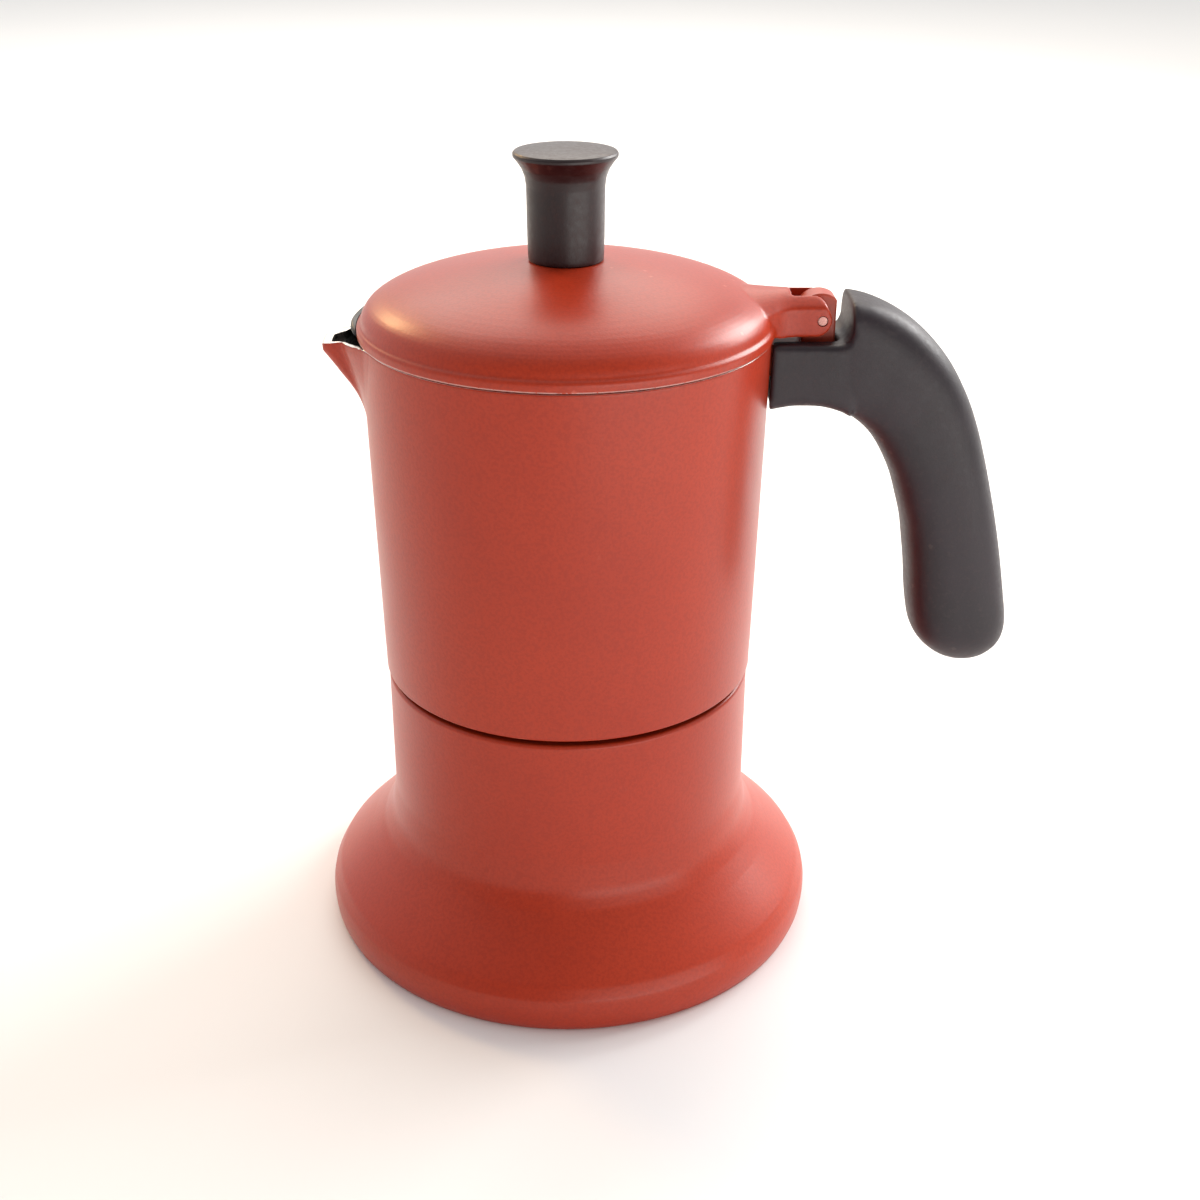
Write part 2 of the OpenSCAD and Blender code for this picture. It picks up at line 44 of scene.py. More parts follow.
# ---------------------------------------------------------------- dimensions, mm
FOOT_R, FOOT_MAX_R, WALL_R = 52.95, 53.8, 38.6
SHOULDER_Z, NECK_R, NECK_BORE, NECK_TOP = 58.5, 32.6, 29.6, 67.8
PITCH, THREAD_TURNS = 4.0, 1.5
SEAM_R, SEAM_Z, RIM_R, RIM_Z, RIM_T = 39.0, 59.8, 40.6, 131.5, 2.5
SEAT_Z, RISER_TOP = 71.6, 121.0
SPOUT_REACH, SPOUT_FOOT, LIP_DROP = 48.1, 113.0, 1.5
LID_Z, LID_R, KNOB_SEAT = 131.8, 41.2, 145.5
PIN_X, PIN_Z, PIN_R, ARM_W, FORK_W = 49.9, 134.7, 1.05, 12.0, 6.0
KNOB_R, KNOB_RIM, KNOB_TOP = 7.5, 10.1, 166.9
CROWN_X, ROOT_LOW, ROOT_TOP, ROOT_HALF = 55.6, 117.6, 130.4, 8.3
BASKET_R, BASKET_DEPTH, STEM_LOW = 27.3, 18.5, 7.0
VALVE_Z, BOSS_Y = 38.0, 41.4
SCREW_X = 49.3
BORE_R, FLOOR_T = 36.1, 3.2


def wall_r(z):
    return SEAM_R + (RIM_R - SEAM_R) * (z - SEAM_Z) / (RIM_Z - SEAM_Z)


# ---------------------------------------------------------------- small geometry helpers
def clamp(v, low=0.0, high=1.0):
    return max(low, min(high, v))


def smooth(a, b, v):
    t = clamp((v - a) / (b - a))
    return t * t * (3 - 2 * t)


def along(table, v):
    """Monotone cubic through (x, y) pairs sorted by x."""
    xs = [p[0] for p in table]
    ys = [p[1] for p in table]
    if v <= xs[0]:
        return ys[0]
    if v >= xs[-1]:
        return ys[-1]
    n = len(xs)
    slopes = [(ys[i + 1] - ys[i]) / (xs[i + 1] - xs[i]) for i in range(n - 1)]
    tangents = [slopes[0]]
    for i in range(1, n - 1):
        a, b = slopes[i - 1], slopes[i]
        tangents.append(0.0 if a * b <= 0 else 2 * a * b / (a + b))
    tangents.append(slopes[-1])
    i = max(k for k in range(n - 1) if xs[k] <= v)
    h = xs[i + 1] - xs[i]
    t = (v - xs[i]) / h
    return (
        (2 * t ** 3 - 3 * t ** 2 + 1) * ys[i]
        + (t ** 3 - 2 * t ** 2 + t) * h * tangents[i]
        + (-2 * t ** 3 + 3 * t ** 2) * ys[i + 1]
        + (t ** 3 - t ** 2) * h * tangents[i + 1]
    )


def fillet(points, closed=True, per_arc=6):
    """Rounds each corner (x, z, radius) of an outline with an arc."""
    out = []
    n = len(points)
    for i, p in enumerate(points):
        radius = p[2] if len(p) > 2 else 0.0
        here = Vector((p[0], p[1]))
        if radius <= 0 or (not closed and i in (0, n - 1)):
            out.append((here.x, here.y))
            continue
        before = Vector(points[i - 1][:2]) - here
        after = Vector(points[(i + 1) % n][:2]) - here
        if before.length < 1e-6 or after.length < 1e-6:
            out.append((here.x, here.y))
            continue
        angle = before.angle(after)
        if angle > math.pi - 0.02:
            out.append((here.x, here.y))
            continue
        cut = min(radius / math.tan(angle / 2), before.length * 0.49, after.length * 0.49)
        start = here + before.normalized() * cut
        end = here + after.normalized() * cut
        r = cut * math.tan(angle / 2)
        centre = here + (before.normalized() + after.normalized()).normalized() * (r / math.sin(angle / 2))
        a0 = math.atan2(start.y - centre.y, start.x - centre.x)
        a1 = math.atan2(end.y - centre.y, end.x - centre.x)
        turn = (a1 - a0 + math.pi) % (2 * math.pi) - math.pi
        steps = max(2, int(per_arc * abs(turn) / 1.2) + 1)
        for k in range(steps + 1):
            a = a0 + turn * k / steps
            out.append((centre.x + r * math.cos(a), centre.y + r * math.sin(a)))
    return out


def dense(points, step, closed=True):
    """Splits long straight runs so that texture and bends stay even."""
    out = []
    n = len(points)
    for i in range(n if closed else n - 1):
        a, b = points[i], points[(i + 1) % n]
        length = math.hypot(b[0] - a[0], b[1] - a[1])
        cuts = max(1, int(length / step))
        for k in range(cuts):
            t = k / cuts
            out.append((a[0] + (b[0] - a[0]) * t, a[1] + (b[1] - a[1]) * t))
    if not closed:
        out.append(points[-1])
    return out


def even_angles(count):
    return [2 * math.pi * i / count for i in range(count)]


def add_rings(bm, rings, closed_rings=True, close_loop=False):
    """Skins rings of points in mm; returns the new vertices."""
    grid = [[bm.verts.new(Vector(p) * MM) for p in ring] for ring in rings]
    count = len(grid)
    size = len(grid[0])
    last = count if close_loop else count - 1
    for j in range(last):
        a, b = grid[j], grid[(j + 1) % count]
        for i in range(size if closed_rings else size - 1):
            k = (i + 1) % size
            bm.faces.new((a[i], a[k], b[k], b[i]))
    return grid


def add_lathe(bm, outline, angles, closed=True, bend=None):
    """Turns an outline of (r, z) round the pot axis. bend(r, z, angle, index) may move a point."""
    rings = []
    for i, (r, z) in enumerate(outline):
        ring = []
        for a in angles:
            rr, zz = bend(r, z, a, i) if bend else (r, z)
            ring.append((rr * math.cos(a), rr * math.sin(a), zz))
        rings.append(ring)
    grid = add_rings(bm, rings, True, closed)
    return grid


def finish_mesh(name, bm, sharp=38, merge=0.00001):
    bmesh.ops.remove_doubles(bm, verts=bm.verts, dist=merge)
    flat = [f for f in bm.faces if f.calc_area() < 1e-14]
    if flat:
        bmesh.ops.delete(bm, geom=flat, context="FACES")
    bmesh.ops.recalc_face_normals(bm, faces=bm.faces)
    mesh = bpy.data.meshes.new(name)
    bm.to_mesh(mesh)
    bm.free()
    mesh.polygons.foreach_set("use_smooth", [True] * len(mesh.polygons))
    mesh.set_sharp_from_angle(angle=math.radians(sharp))
    obj = bpy.data.objects.new(name, mesh)
    bpy.context.scene.collection.objects.link(obj)
    return obj


def turned(name, outline, closed=True, count=192, sharp=38, place=None, step=0):
    bm = bmesh.new()
    pts = dense(outline, step, closed) if step else outline
    add_lathe(bm, pts, even_angles(count), closed)
    if place:
        bmesh.ops.transform(bm, matrix=place, verts=bm.verts)
    return finish_mesh(name, bm, sharp)


def add_prism(bm, outline, low, high, plane="XY", bevel=0.0, at=(0, 0, 0)):
    """Straight extrusion of a 2D outline with small chamfered edges."""
    levels = [(low, bevel), (low + bevel, 0), (high - bevel, 0), (high, bevel)] if bevel else [(low, 0),
        (high, 0)]
    n = len(outline)
    area = sum(outline[i][0] * outline[(i + 1) % n][1] - outline[(i + 1) % n][0] * outline[i][1] for i in range(n))
    sign = 1 if area > 0 else -1
    rings = []
    for h, inset in levels:
        ring = []
        for i in range(n):
            a, p, b = Vector(outline[i - 1]), Vector(outline[i]), Vector(outline[(i + 1) % n])
            e0, e1 = (p - a).normalized(), (b - p).normalized()
            n0, n1 = Vector((-e0.y, e0.x)) * sign, Vector((-e1.y, e1.x)) * sign
            m = n0 + n1
            m = m / max(0.4, m.dot(n0)) if m.length > 1e-6 else n0
            q = p + m * inset
            if plane == "XY":
                v = (q.x, q.y, h)
            elif plane == "XZ":
                v = (q.x, h, q.y)
            else:
                v = (h, q.x, q.y)
            ring.append((v[0] + at[0], v[1] + at[1], v[2] + at[2]))
        rings.append(ring)
    grid = add_rings(bm, rings, True, False)
    bm.faces.new(grid[0])
    bm.faces.new(grid[-1])


def circle(cx, cz, r, a0, a1, steps):
    return [
        (cx + r * math.cos(math.radians(a0 + (a1 - a0) * i / steps)),
            cz + r * math.sin(math.radians(a0 + (a1 - a0) * i / steps)))
        for i in range(steps + 1)
    ]


def use(obj, modifier_type, **settings):
    """Adds a modifier with the given settings and applies it."""
    mod = obj.modifiers.new("m", modifier_type)
    for key, value in settings.items():
        setattr(mod, key, value)
    bpy.context.view_layer.objects.active = obj
    obj.select_set(True)
    with bpy.context.temp_override(object=obj, active_object=obj, selected_objects=[obj]):
        bpy.ops.object.modifier_apply(modifier=mod.name)


def cut(obj, bm):
    """Cuts the closed shape in bm out of obj."""
    tool = finish_mesh("cutter", bm)
    use(obj, "BOOLEAN", operation="DIFFERENCE", solver="EXACT", object=tool)
    bpy.data.objects.remove(tool, do_unlink=True)


def all_smooth(obj, sharp=38):
    mesh = obj.data
    mesh.polygons.foreach_set("use_smooth", [True] * len(mesh.polygons))
    mesh.set_sharp_from_angle(angle=math.radians(sharp))


def mark(obj, name, test):
    """Stores a 0 to 1 value on every corner of the faces, from a test on the face centre and normal in mm."""
    mesh = obj.data
    layer = mesh.attributes.new(name, "FLOAT", "CORNER")
    for face in mesh.polygons:
        value = float(test(face.center / MM, face.normal))
        for corner in face.loop_indices:
            layer.data[corner].value = value


# ---------------------------------------------------------------- materials
class Look:
    """A small builder for procedural node materials."""

    def __init__(self, name):
        self.mat = bpy.data.materials.new(name)
        self.mat.use_nodes = True
        self.tree = self.mat.node_tree
        self.tree.nodes.clear()
        self.out = self.node("ShaderNodeOutputMaterial")
        self.shader = self.node("ShaderNodeBsdfPrincipled")
        self.link(self.shader.outputs["BSDF"], self.out.inputs["Surface"])
        coords = self.node("ShaderNodeTexCoord")
        self.place = coords.outputs["Object"]

    def node(self, kind, **settings):
        n = self.tree.nodes.new(kind)
        for key, value in settings.items():
            setattr(n, key, value)
        return n

    def link(self, a, b):
        self.tree.links.new(a, b)

    def feed(self, socket, value):
        if hasattr(value, "is_linked") or hasattr(value, "links"):
            self.link(value, socket)
        else:
            socket.default_value = value

    def noise(self, scale, detail=3.0, rough=0.55, distort=0.0, place=None, stretch=None):
        n = self.node("ShaderNodeTexNoise")
        n.inputs["Scale"].default_value = scale
        n.inputs["Detail"].default_value = detail
        n.inputs["Roughness"].default_value = rough
        n.inputs["Distortion"].default_value = distort
        source = place or self.place
        if stretch:
            m = self.node("ShaderNodeMapping")
            m.inputs["Scale"].default_value = stretch
            self.link(source, m.inputs["Vector"])
            source = m.outputs["Vector"]
        self.link(source, n.inputs["Vector"])
        return n.outputs["Fac"]

    def cells(self, scale, feature="F1", stretch=None):
        n = self.node("ShaderNodeTexVoronoi", feature=feature)
        n.inputs["Scale"].default_value = scale
        self.link(self.place, n.inputs["Vector"])
        return n.outputs["Distance"]

    def span(self, value, from_low, from_high, to_low, to_high, smooth_step=False):
        n = self.node("ShaderNodeMapRange", interpolation_type="SMOOTHSTEP" if smooth_step else "LINEAR")
        n.inputs["From Min"].default_value = from_low
        n.inputs["From Max"].default_value = from_high
        n.inputs["To Min"].default_value = to_low
        n.inputs["To Max"].default_value = to_high
        self.link(value, n.inputs["Value"])
        return n.outputs["Result"]

    def math(self, operation, a, b=0.0):
        n = self.node("ShaderNodeMath", operation=operation)
        self.feed(n.inputs[0], a)
        self.feed(n.inputs[1], b)
        return n.outputs["Value"]

    def mix(self, factor, a, b):
        n = self.node("ShaderNodeMix", data_type="RGBA")
        self.feed(n.inputs["Factor"], factor)
        self.feed(n.inputs["A"], a)
        self.feed(n.inputs["B"], b)
        return n.outputs["Result"]

    def axis(self, letter, place=None):
        n = self.node("ShaderNodeSeparateXYZ")
        self.link(place or self.place, n.inputs["Vector"])
        return n.outputs[letter]

    def radius(self):
        """Distance from the pot axis, in metres."""
        x = self.axis("X")
        y = self.axis("Y")
        return self.math("SQRT", self.math("ADD", self.math("MULTIPLY", x, x), self.math("MULTIPLY", y, y)))

    def value(self, name):
        n = self.node("ShaderNodeAttribute", attribute_name=name)
        return n.outputs["Fac"]

    def edge(self):
        """Bright on worn convex edges."""
        n = self.node("ShaderNodeNewGeometry")
        return n.outputs["Pointiness"]

    def bump(self, height, strength, distance, under=None):
        n = self.node("ShaderNodeBump")
        n.inputs["Strength"].default_value = strength
        n.inputs["Distance"].default_value = distance
        self.link(height, n.inputs["Height"])
        if under:
            self.link(under, n.inputs["Normal"])
        return n.outputs["Normal"]

    def set(self, **inputs):
        for key, value in inputs.items():
            self.feed(self.shader.inputs[key.replace("_", " ")], value)
        return self


def rgb(r, g, b):
    """Colour as seen on a screen, 0 to 255, to linear light."""
    def lin(c):
        c /= 255
        return c / 12.92 if c <= 0.04045 else ((c + 0.055) / 1.055) ** 2.4
    return (lin(r), lin(g), lin(b), 1.0)


def make_paint():
    """Satin coral enamel with a very fine grain; bare turned metal where the attribute 'bare' is 1."""
    k = Look("coral_enamel")
    broad = k.noise(28, 3)
    fine = k.noise(1500, 2, 0.6)
    grain = k.cells(2300)
    tone = k.mix(k.span(broad, 0.3, 0.7, 0, 1), rgb(172, 47, 18), rgb(181, 54, 23))
    tone = k.mix(k.span(fine, 0.42, 0.62, 0, 0.4), tone, rgb(150, 39, 16))
    dust = k.span(k.noise(420, 4, 0.7), 0.66, 0.78, 0, 0.2)
    tone = k.mix(dust, tone, rgb(198, 96, 70))
    worn = k.span(k.edge(), 0.53, 0.60, 0, 0.4)
    tone = k.mix(worn, tone, rgb(214, 116, 96))

    bare = k.value("bare")
    lathe = k.node("ShaderNodeTexNoise")
    rings = k.node("ShaderNodeCombineXYZ")
    k.link(k.math("MULTIPLY", k.radius(), 3000), rings.inputs["X"])
    k.link(k.math("MULTIPLY", k.axis("Z"), 3000), rings.inputs["Y"])
    k.link(rings.outputs["Vector"], lathe.inputs["Vector"])
    lathe.inputs["Scale"].default_value = 1.0
    lathe.inputs["Detail"].default_value = 2.0
    metal = k.mix(k.span(lathe.outputs["Fac"], 0.3, 0.7, 0, 1), rgb(196, 192, 187), rgb(226, 223, 218))
    stain = k.noise(90, 5, 0.65)
    metal = k.mix(k.span(stain, 0.55, 0.75, 0, 0.35), metal, rgb(160, 150, 138))
    # painted shade: the bare metal in the joint between the two halves is coloured dark brown, standing in for the
    # shadow in the seam
    painted_seam_shade = k.math("MULTIPLY", k.span(k.axis("Z"), 0.0568, 0.0580, 0, 0.9),
        k.span(k.axis("Z"), 0.0638, 0.0655, 1, 0))
    metal = k.mix(painted_seam_shade, metal, rgb(52, 32, 26))

    rough_paint = k.span(broad, 0.3, 0.7, 0.33, 0.40)
    rough_paint = k.math("ADD", rough_paint, k.span(dust, 0, 0.25, 0, 0.1))
    rough_metal = k.span(lathe.outputs["Fac"], 0.3, 0.7, 0.26, 0.42)
    k.set(
        Base_Color=k.mix(bare, tone, metal),
        Metallic=bare,
        Roughness=k.math("ADD", k.math("MULTIPLY", rough_paint, k.math("SUBTRACT", 1.0, bare)),
            k.math("MULTIPLY", rough_metal, bare)),
    )
    k.shader.inputs["Specular IOR Level"].default_value = 0.36
    k.shader.inputs["Coat Weight"].default_value = 0.12
    k.shader.inputs["Coat Roughness"].default_value = 0.28
    height = k.math("ADD", k.math("MULTIPLY", grain, 0.5), k.math("MULTIPLY", fine, 0.8))
    n1 = k.bump(height, 0.16, 0.00012)
    ripple = k.noise(160, 2)
    n2 = k.bump(ripple, 0.05, 0.0004, n1)
    lathe_bump = k.bump(lathe.outputs["Fac"], 0.12, 0.00008)
    choose = k.node("ShaderNodeMix", data_type="VECTOR")
    k.link(bare, choose.inputs["Factor"])
    k.link(n2, choose.inputs["A"])
    k.link(lathe_bump, choose.inputs["B"])
    k.link(choose.outputs["Result"], k.shader.inputs["Normal"])
    return k.mat


def make_turned_metal(name, light, dark, rough_low, rough_high, axis_y=False, stains=0.25):
    """Bare metal with fine tool marks round its own axis."""
    k = Look(name)
    rings = k.node("ShaderNodeCombineXYZ")
    if axis_y:
        x, z = k.axis("X"), k.math("SUBTRACT", k.axis("Z"), VALVE_Z * MM)
        r = k.math("SQRT", k.math("ADD", k.math("MULTIPLY", x, x), k.math("MULTIPLY", z, z)))
        k.link(k.math("MULTIPLY", r, 3500), rings.inputs["X"])
        k.link(k.math("MULTIPLY", k.axis("Y"), 3500), rings.inputs["Y"])
    else:
        k.link(k.math("MULTIPLY", k.radius(), 3500), rings.inputs["X"])
        k.link(k.math("MULTIPLY", k.axis("Z"), 3500), rings.inputs["Y"])
    marks = k.node("ShaderNodeTexNoise")
    marks.inputs["Scale"].default_value = 1.0
    marks.inputs["Detail"].default_value = 3.0
    k.link(rings.outputs["Vector"], marks.inputs["Vector"])
    tone = k.mix(k.span(marks.outputs["Fac"], 0.3, 0.7, 0, 1), dark, light)
    cloud = k.noise(120, 5, 0.6)
    shade = tuple(c * 0.55 for c in dark[:3]) + (1.0,)
    tone = k.mix(k.span(cloud, 0.55, 0.78, 0, stains), tone, shade)
    worn = k.span(k.edge(), 0.53, 0.62, 0, 0.5)
    tone = k.mix(worn, tone, light)
    k.set(
        Base_Color=tone,
        Metallic=1.0,
        Roughness=k.math("ADD", k.span(marks.outputs["Fac"], 0.3, 0.7, rough_low, rough_high),
            k.span(cloud, 0.5, 0.8, 0, 0.12)),
        Normal=k.bump(marks.outputs["Fac"], 0.12, 0.00008, k.bump(k.noise(700, 3), 0.05, 0.0001)),
    )
    return k.mat


def make_bakelite(name, base, dark, light, rough):
    """Moulded dark resin with a fine filler grain and slightly polished edges."""
    k = Look(name)
    filler = k.noise(900, 4, 0.7)
    cloud = k.noise(60, 4, 0.6)
    fleck = k.cells(1300)
    tone = k.mix(k.span(cloud, 0.35, 0.65, 0, 1), dark, base)
    tone = k.mix(k.span(filler, 0.5, 0.75, 0, 0.22), tone, light)
    tone = k.mix(k.span(fleck, 0.04, 0.16, 0.14, 0), tone, light)
    worn = k.span(k.edge(), 0.52, 0.60, 0, 0.35)
    tone = k.mix(worn, tone, light)
    k.set(
        Base_Color=tone,
        Metallic=0.0,
        Roughness=k.math("ADD", k.span(filler, 0.35, 0.7, rough - 0.05, rough + 0.08),
            k.span(cloud, 0.3, 0.7, 0, 0.04)),
        Normal=k.bump(filler, 0.22, 0.00012, k.bump(k.noise(220, 3), 0.08, 0.0004)),
    )
    k.shader.inputs["Specular IOR Level"].default_value = 0.5
    return k.mat


def make_rubber(name, base, light, rough, sheen=0.0):
    """Silicone or fibre with a soft mottled skin."""
    k = Look(name)
    skin = k.noise(1100, 3, 0.6)
    cloud = k.noise(140, 4, 0.6)
    tone = k.mix(k.span(cloud, 0.35, 0.7, 0, 0.7), base, light)
    tone = k.mix(k.span(skin, 0.5, 0.7, 0, 0.4), tone, light)
    worn = k.span(k.edge(), 0.52, 0.60, 0, 0.3)
    tone = k.mix(worn, tone, light)
    k.set(
        Base_Color=tone,
        Metallic=0.0,
        Roughness=k.span(cloud, 0.3, 0.7, rough - 0.06, rough + 0.08),
        Normal=k.bump(skin, 0.15, 0.0001, k.bump(cloud, 0.06, 0.0004)),
    )
    k.shader.inputs["Sheen Weight"].default_value = sheen
    return k.mat


PAINT = make_paint()
ALUMINIUM = make_turned_metal("turned_aluminium", rgb(218, 218, 220), rgb(182, 182, 185), 0.24, 0.38)
BRASS = make_turned_metal("machined_brass", rgb(214, 178, 105), rgb(170, 130, 66), 0.24, 0.36, axis_y=True)
BRASS_UPRIGHT = make_turned_metal("turned_brass", rgb(214, 178, 105), rgb(170, 130, 66), 0.26, 0.38)
STEEL = make_turned_metal("plated_steel", rgb(196, 194, 192), rgb(146, 145, 144), 0.26, 0.4)
STEEL_SIDE = make_turned_metal("plated_steel_side", rgb(196, 194, 192), rgb(146, 145, 144), 0.26, 0.4,
    axis_y=True)
PIN_METAL = make_turned_metal("hinge_pin_metal", rgb(196, 150, 142), rgb(150, 104, 98), 0.32, 0.46)
BAKELITE = make_bakelite("handle_bakelite", rgb(40, 29, 37), rgb(31, 22, 29), rgb(84, 70, 68), 0.47)
KNOB_BAKELITE = make_bakelite("knob_bakelite", rgb(38, 13, 17), rgb(28, 8, 11), rgb(84, 54, 48), 0.36)
WHITE_SILICONE = make_rubber("white_silicone", rgb(214, 212, 204), rgb(232, 231, 226), 0.5)
BLACK_SILICONE = make_rubber("black_silicone", rgb(20, 19, 20), rgb(44, 43, 45), 0.4)
FIBRE = make_rubber("fibre_washer", rgb(120, 44, 32), rgb(150, 70, 54), 0.6)


def dress(obj, material, body, slot, *nodes):
    obj.data.materials.clear()
    obj.data.materials.append(material)
    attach(obj, body)
    if nodes:
        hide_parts(*nodes)
    return obj


def keep_cad(node, material):
    """Gives a hidden CAD piece its procedural material."""
    obj = NODES[node]
    for i in range(len(obj.material_slots)):
        obj.material_slots[i].material = material
    if not obj.material_slots:
        obj.data.materials.append(material)


# ---------------------------------------------------------------- thread ridge
def add_thread(bm, root_r, crest_r, low_z):
    steps = 180
    rings = []
    for j in range(steps + 1):
        a = THREAD_TURNS * 2 * math.pi * j / steps
        fade = clamp(0.1 + min(j, steps - j) / 14)
        crest = root_r + (crest_r - root_r) * fade
        z = low_z + PITCH * a / (2 * math.pi)
        section = [(root_r, -1.1), (crest, -0.55), (crest, -0.42), (crest, 0.42), (crest, 0.55),
            (root_r, 1.1)]
        mid = (section[1][0] + section[0][0]) / 2
        section[1] = (crest - (crest - root_r) * 0.08, -0.55)
        section[4] = (crest - (crest - root_r) * 0.08, 0.55)
        rings.append([(r * math.cos(a), r * math.sin(a), z + h) for r, h in section])
    grid = add_rings(bm, rings, True, False)
    bm.faces.new(grid[0])
    bm.faces.new(grid[-1])


# ---------------------------------------------------------------- boiler
def build_boiler():
    outer = fillet(
        [
            (0.0, 0.0), (FOOT_R - 0.4, 0.0, 0.4), (FOOT_R, 0.35), (FOOT_MAX_R - 0.25, 1.9),
            (FOOT_MAX_R, 3.9),
            (FOOT_MAX_R - 0.02, 5.6), (53.4, 7.5, 3), (52.0, 10.0, 4), (49.5, 12.55, 5), (44.6, 17.5, 8),
            (41.5, 20.9, 6),
            (39.6, 24.2, 8), (WALL_R, 30.5, 10), (WALL_R, SHOULDER_Z, 0.9), (NECK_R, SHOULDER_Z, 0.6),
            (NECK_R, NECK_TOP, 0.5), (NECK_BORE, NECK_TOP, 0.4), (NECK_BORE, 56.2, 0.6), (34.4, 53.8, 2),
            (BORE_R, 51.5, 2), (BORE_R, 32.0, 6), (36.3, 27.0, 6), (38.1, 20.6, 6), (42.5, 15.3, 5),
            (47.4, 10.4, 4),
            (49.5, 7.0, 2), (48.6, 4.2, 2), (46.0, FLOOR_T, 2), (0.0, FLOOR_T),
        ],
        closed=False, per_arc=9,
    )
    bm = bmesh.new()
    add_lathe(bm, dense(outer, 2.2, closed=False), even_angles(256), closed=False)
    add_thread(bm, NECK_R - 0.1, 34.4, 60.7)
    boiler = finish_mesh("boiler_pot", bm, 50)
    # boss for the safety valve, flowing out of the wall
    boss = fillet([(0, 34.5), (11.4, 34.5), (11.4, 37.2), (8.6, 38.9, 1.6), (8.2, BOSS_Y, 0.6),
        (0, BOSS_Y)], closed=False)
    bm = bmesh.new()
    add_lathe(bm, dense(boss, 0.8, closed=False), even_angles(96), closed=False)
    side = Matrix.Translation(Vector((0, 0, VALVE_Z * MM))) @ Matrix.Rotation(-math.pi / 2, 4, "X")
    bmesh.ops.transform(bm, matrix=side, verts=bm.verts)
    lump = finish_mesh("boss", bm)
    use(boiler, "BOOLEAN", operation="UNION", solver="EXACT", object=lump)
    bpy.data.objects.remove(lump, do_unlink=True)
    bm = bmesh.new()
    add_lathe(bm, [(0, 26), (5.05, 26), (5.05, 60), (0, 60)], even_angles(96), closed=False)
    bmesh.ops.transform(bm, matrix=side, verts=bm.verts)
    cut(boiler, bm)
    all_smooth(boiler, 42)

    def bare(c, n):
        r = math.hypot(c.x, c.y)
        inside = r < WALL_R - 0.9 and c.z > 3.0 and (c.z < 56 or r < 31) and r < along([(3, 50.5), (12, 47),
            (24, 37.4), (30, 36.5), (56, 36.5)], c.z)
        return inside or c.z > SHOULDER_Z + 0.15 or (c.z < 0.2 and r < FOOT_R - 0.6)

    mark(boiler, "bare", bare)
    return dress(boiler, PAINT, "base", "paint", "boiler", "boiler_foot", "boiler_floor")


# ---------------------------------------------------------------- collector with its beak
OUTER_BEAK = [
    (0.0, 1.0), (0.17, 1.0), (0.235, 0.985), (0.275, 0.92), (0.315, 0.80), (0.355, 0.60), (0.40, 0.47),
    (0.52, 0.39), (0.69, 0.26), (0.86, 0.13), (1.0, 0.045), (1.18, 0.0),
]
INNER_BEAK = [
    (0.0, 1.0), (0.13, 1.0), (0.17, 0.97), (0.20, 0.88), (0.24, 0.77), (0.30, 0.70), (0.46, 0.58),
    (0.62, 0.42),
    (0.80, 0.22), (0.95, 0.07), (1.1, 0.0),
]
BEAK_HALF = math.radians(18.9)


def beak_offset(a, z, inner):
    """How far the spout pushes the wall outwards at this angle and height."""
    side = abs(a - math.pi)
    if side > BEAK_HALF * 1.3:
        return 0.0
    low = SPOUT_FOOT + (3.0 if inner else -1.5)
    t = clamp((z - low) / (RIM_Z - LIP_DROP - low), 0, 1.08)
    if t <= 0:
        return 0.0
    grow = t ** 1.65
    narrow = 0.34 + 0.66 * t ** 0.8
    reach = (SPOUT_REACH - 1.9 - (RIM_R - RIM_T)) if inner else (SPOUT_REACH - RIM_R)
    table = INNER_BEAK if inner else OUTER_BEAK
    s = side / (BEAK_HALF * narrow)
    # low down the section is a soft ridge, at the lip it is a blunt nose
    ridge = math.exp(-(s * 2.6) ** 2)
    blend = smooth(0.15, 0.75, t)
    share = along(table, s) * blend + ridge * (1 - blend)
    return reach * min(grow, 1.0) * share


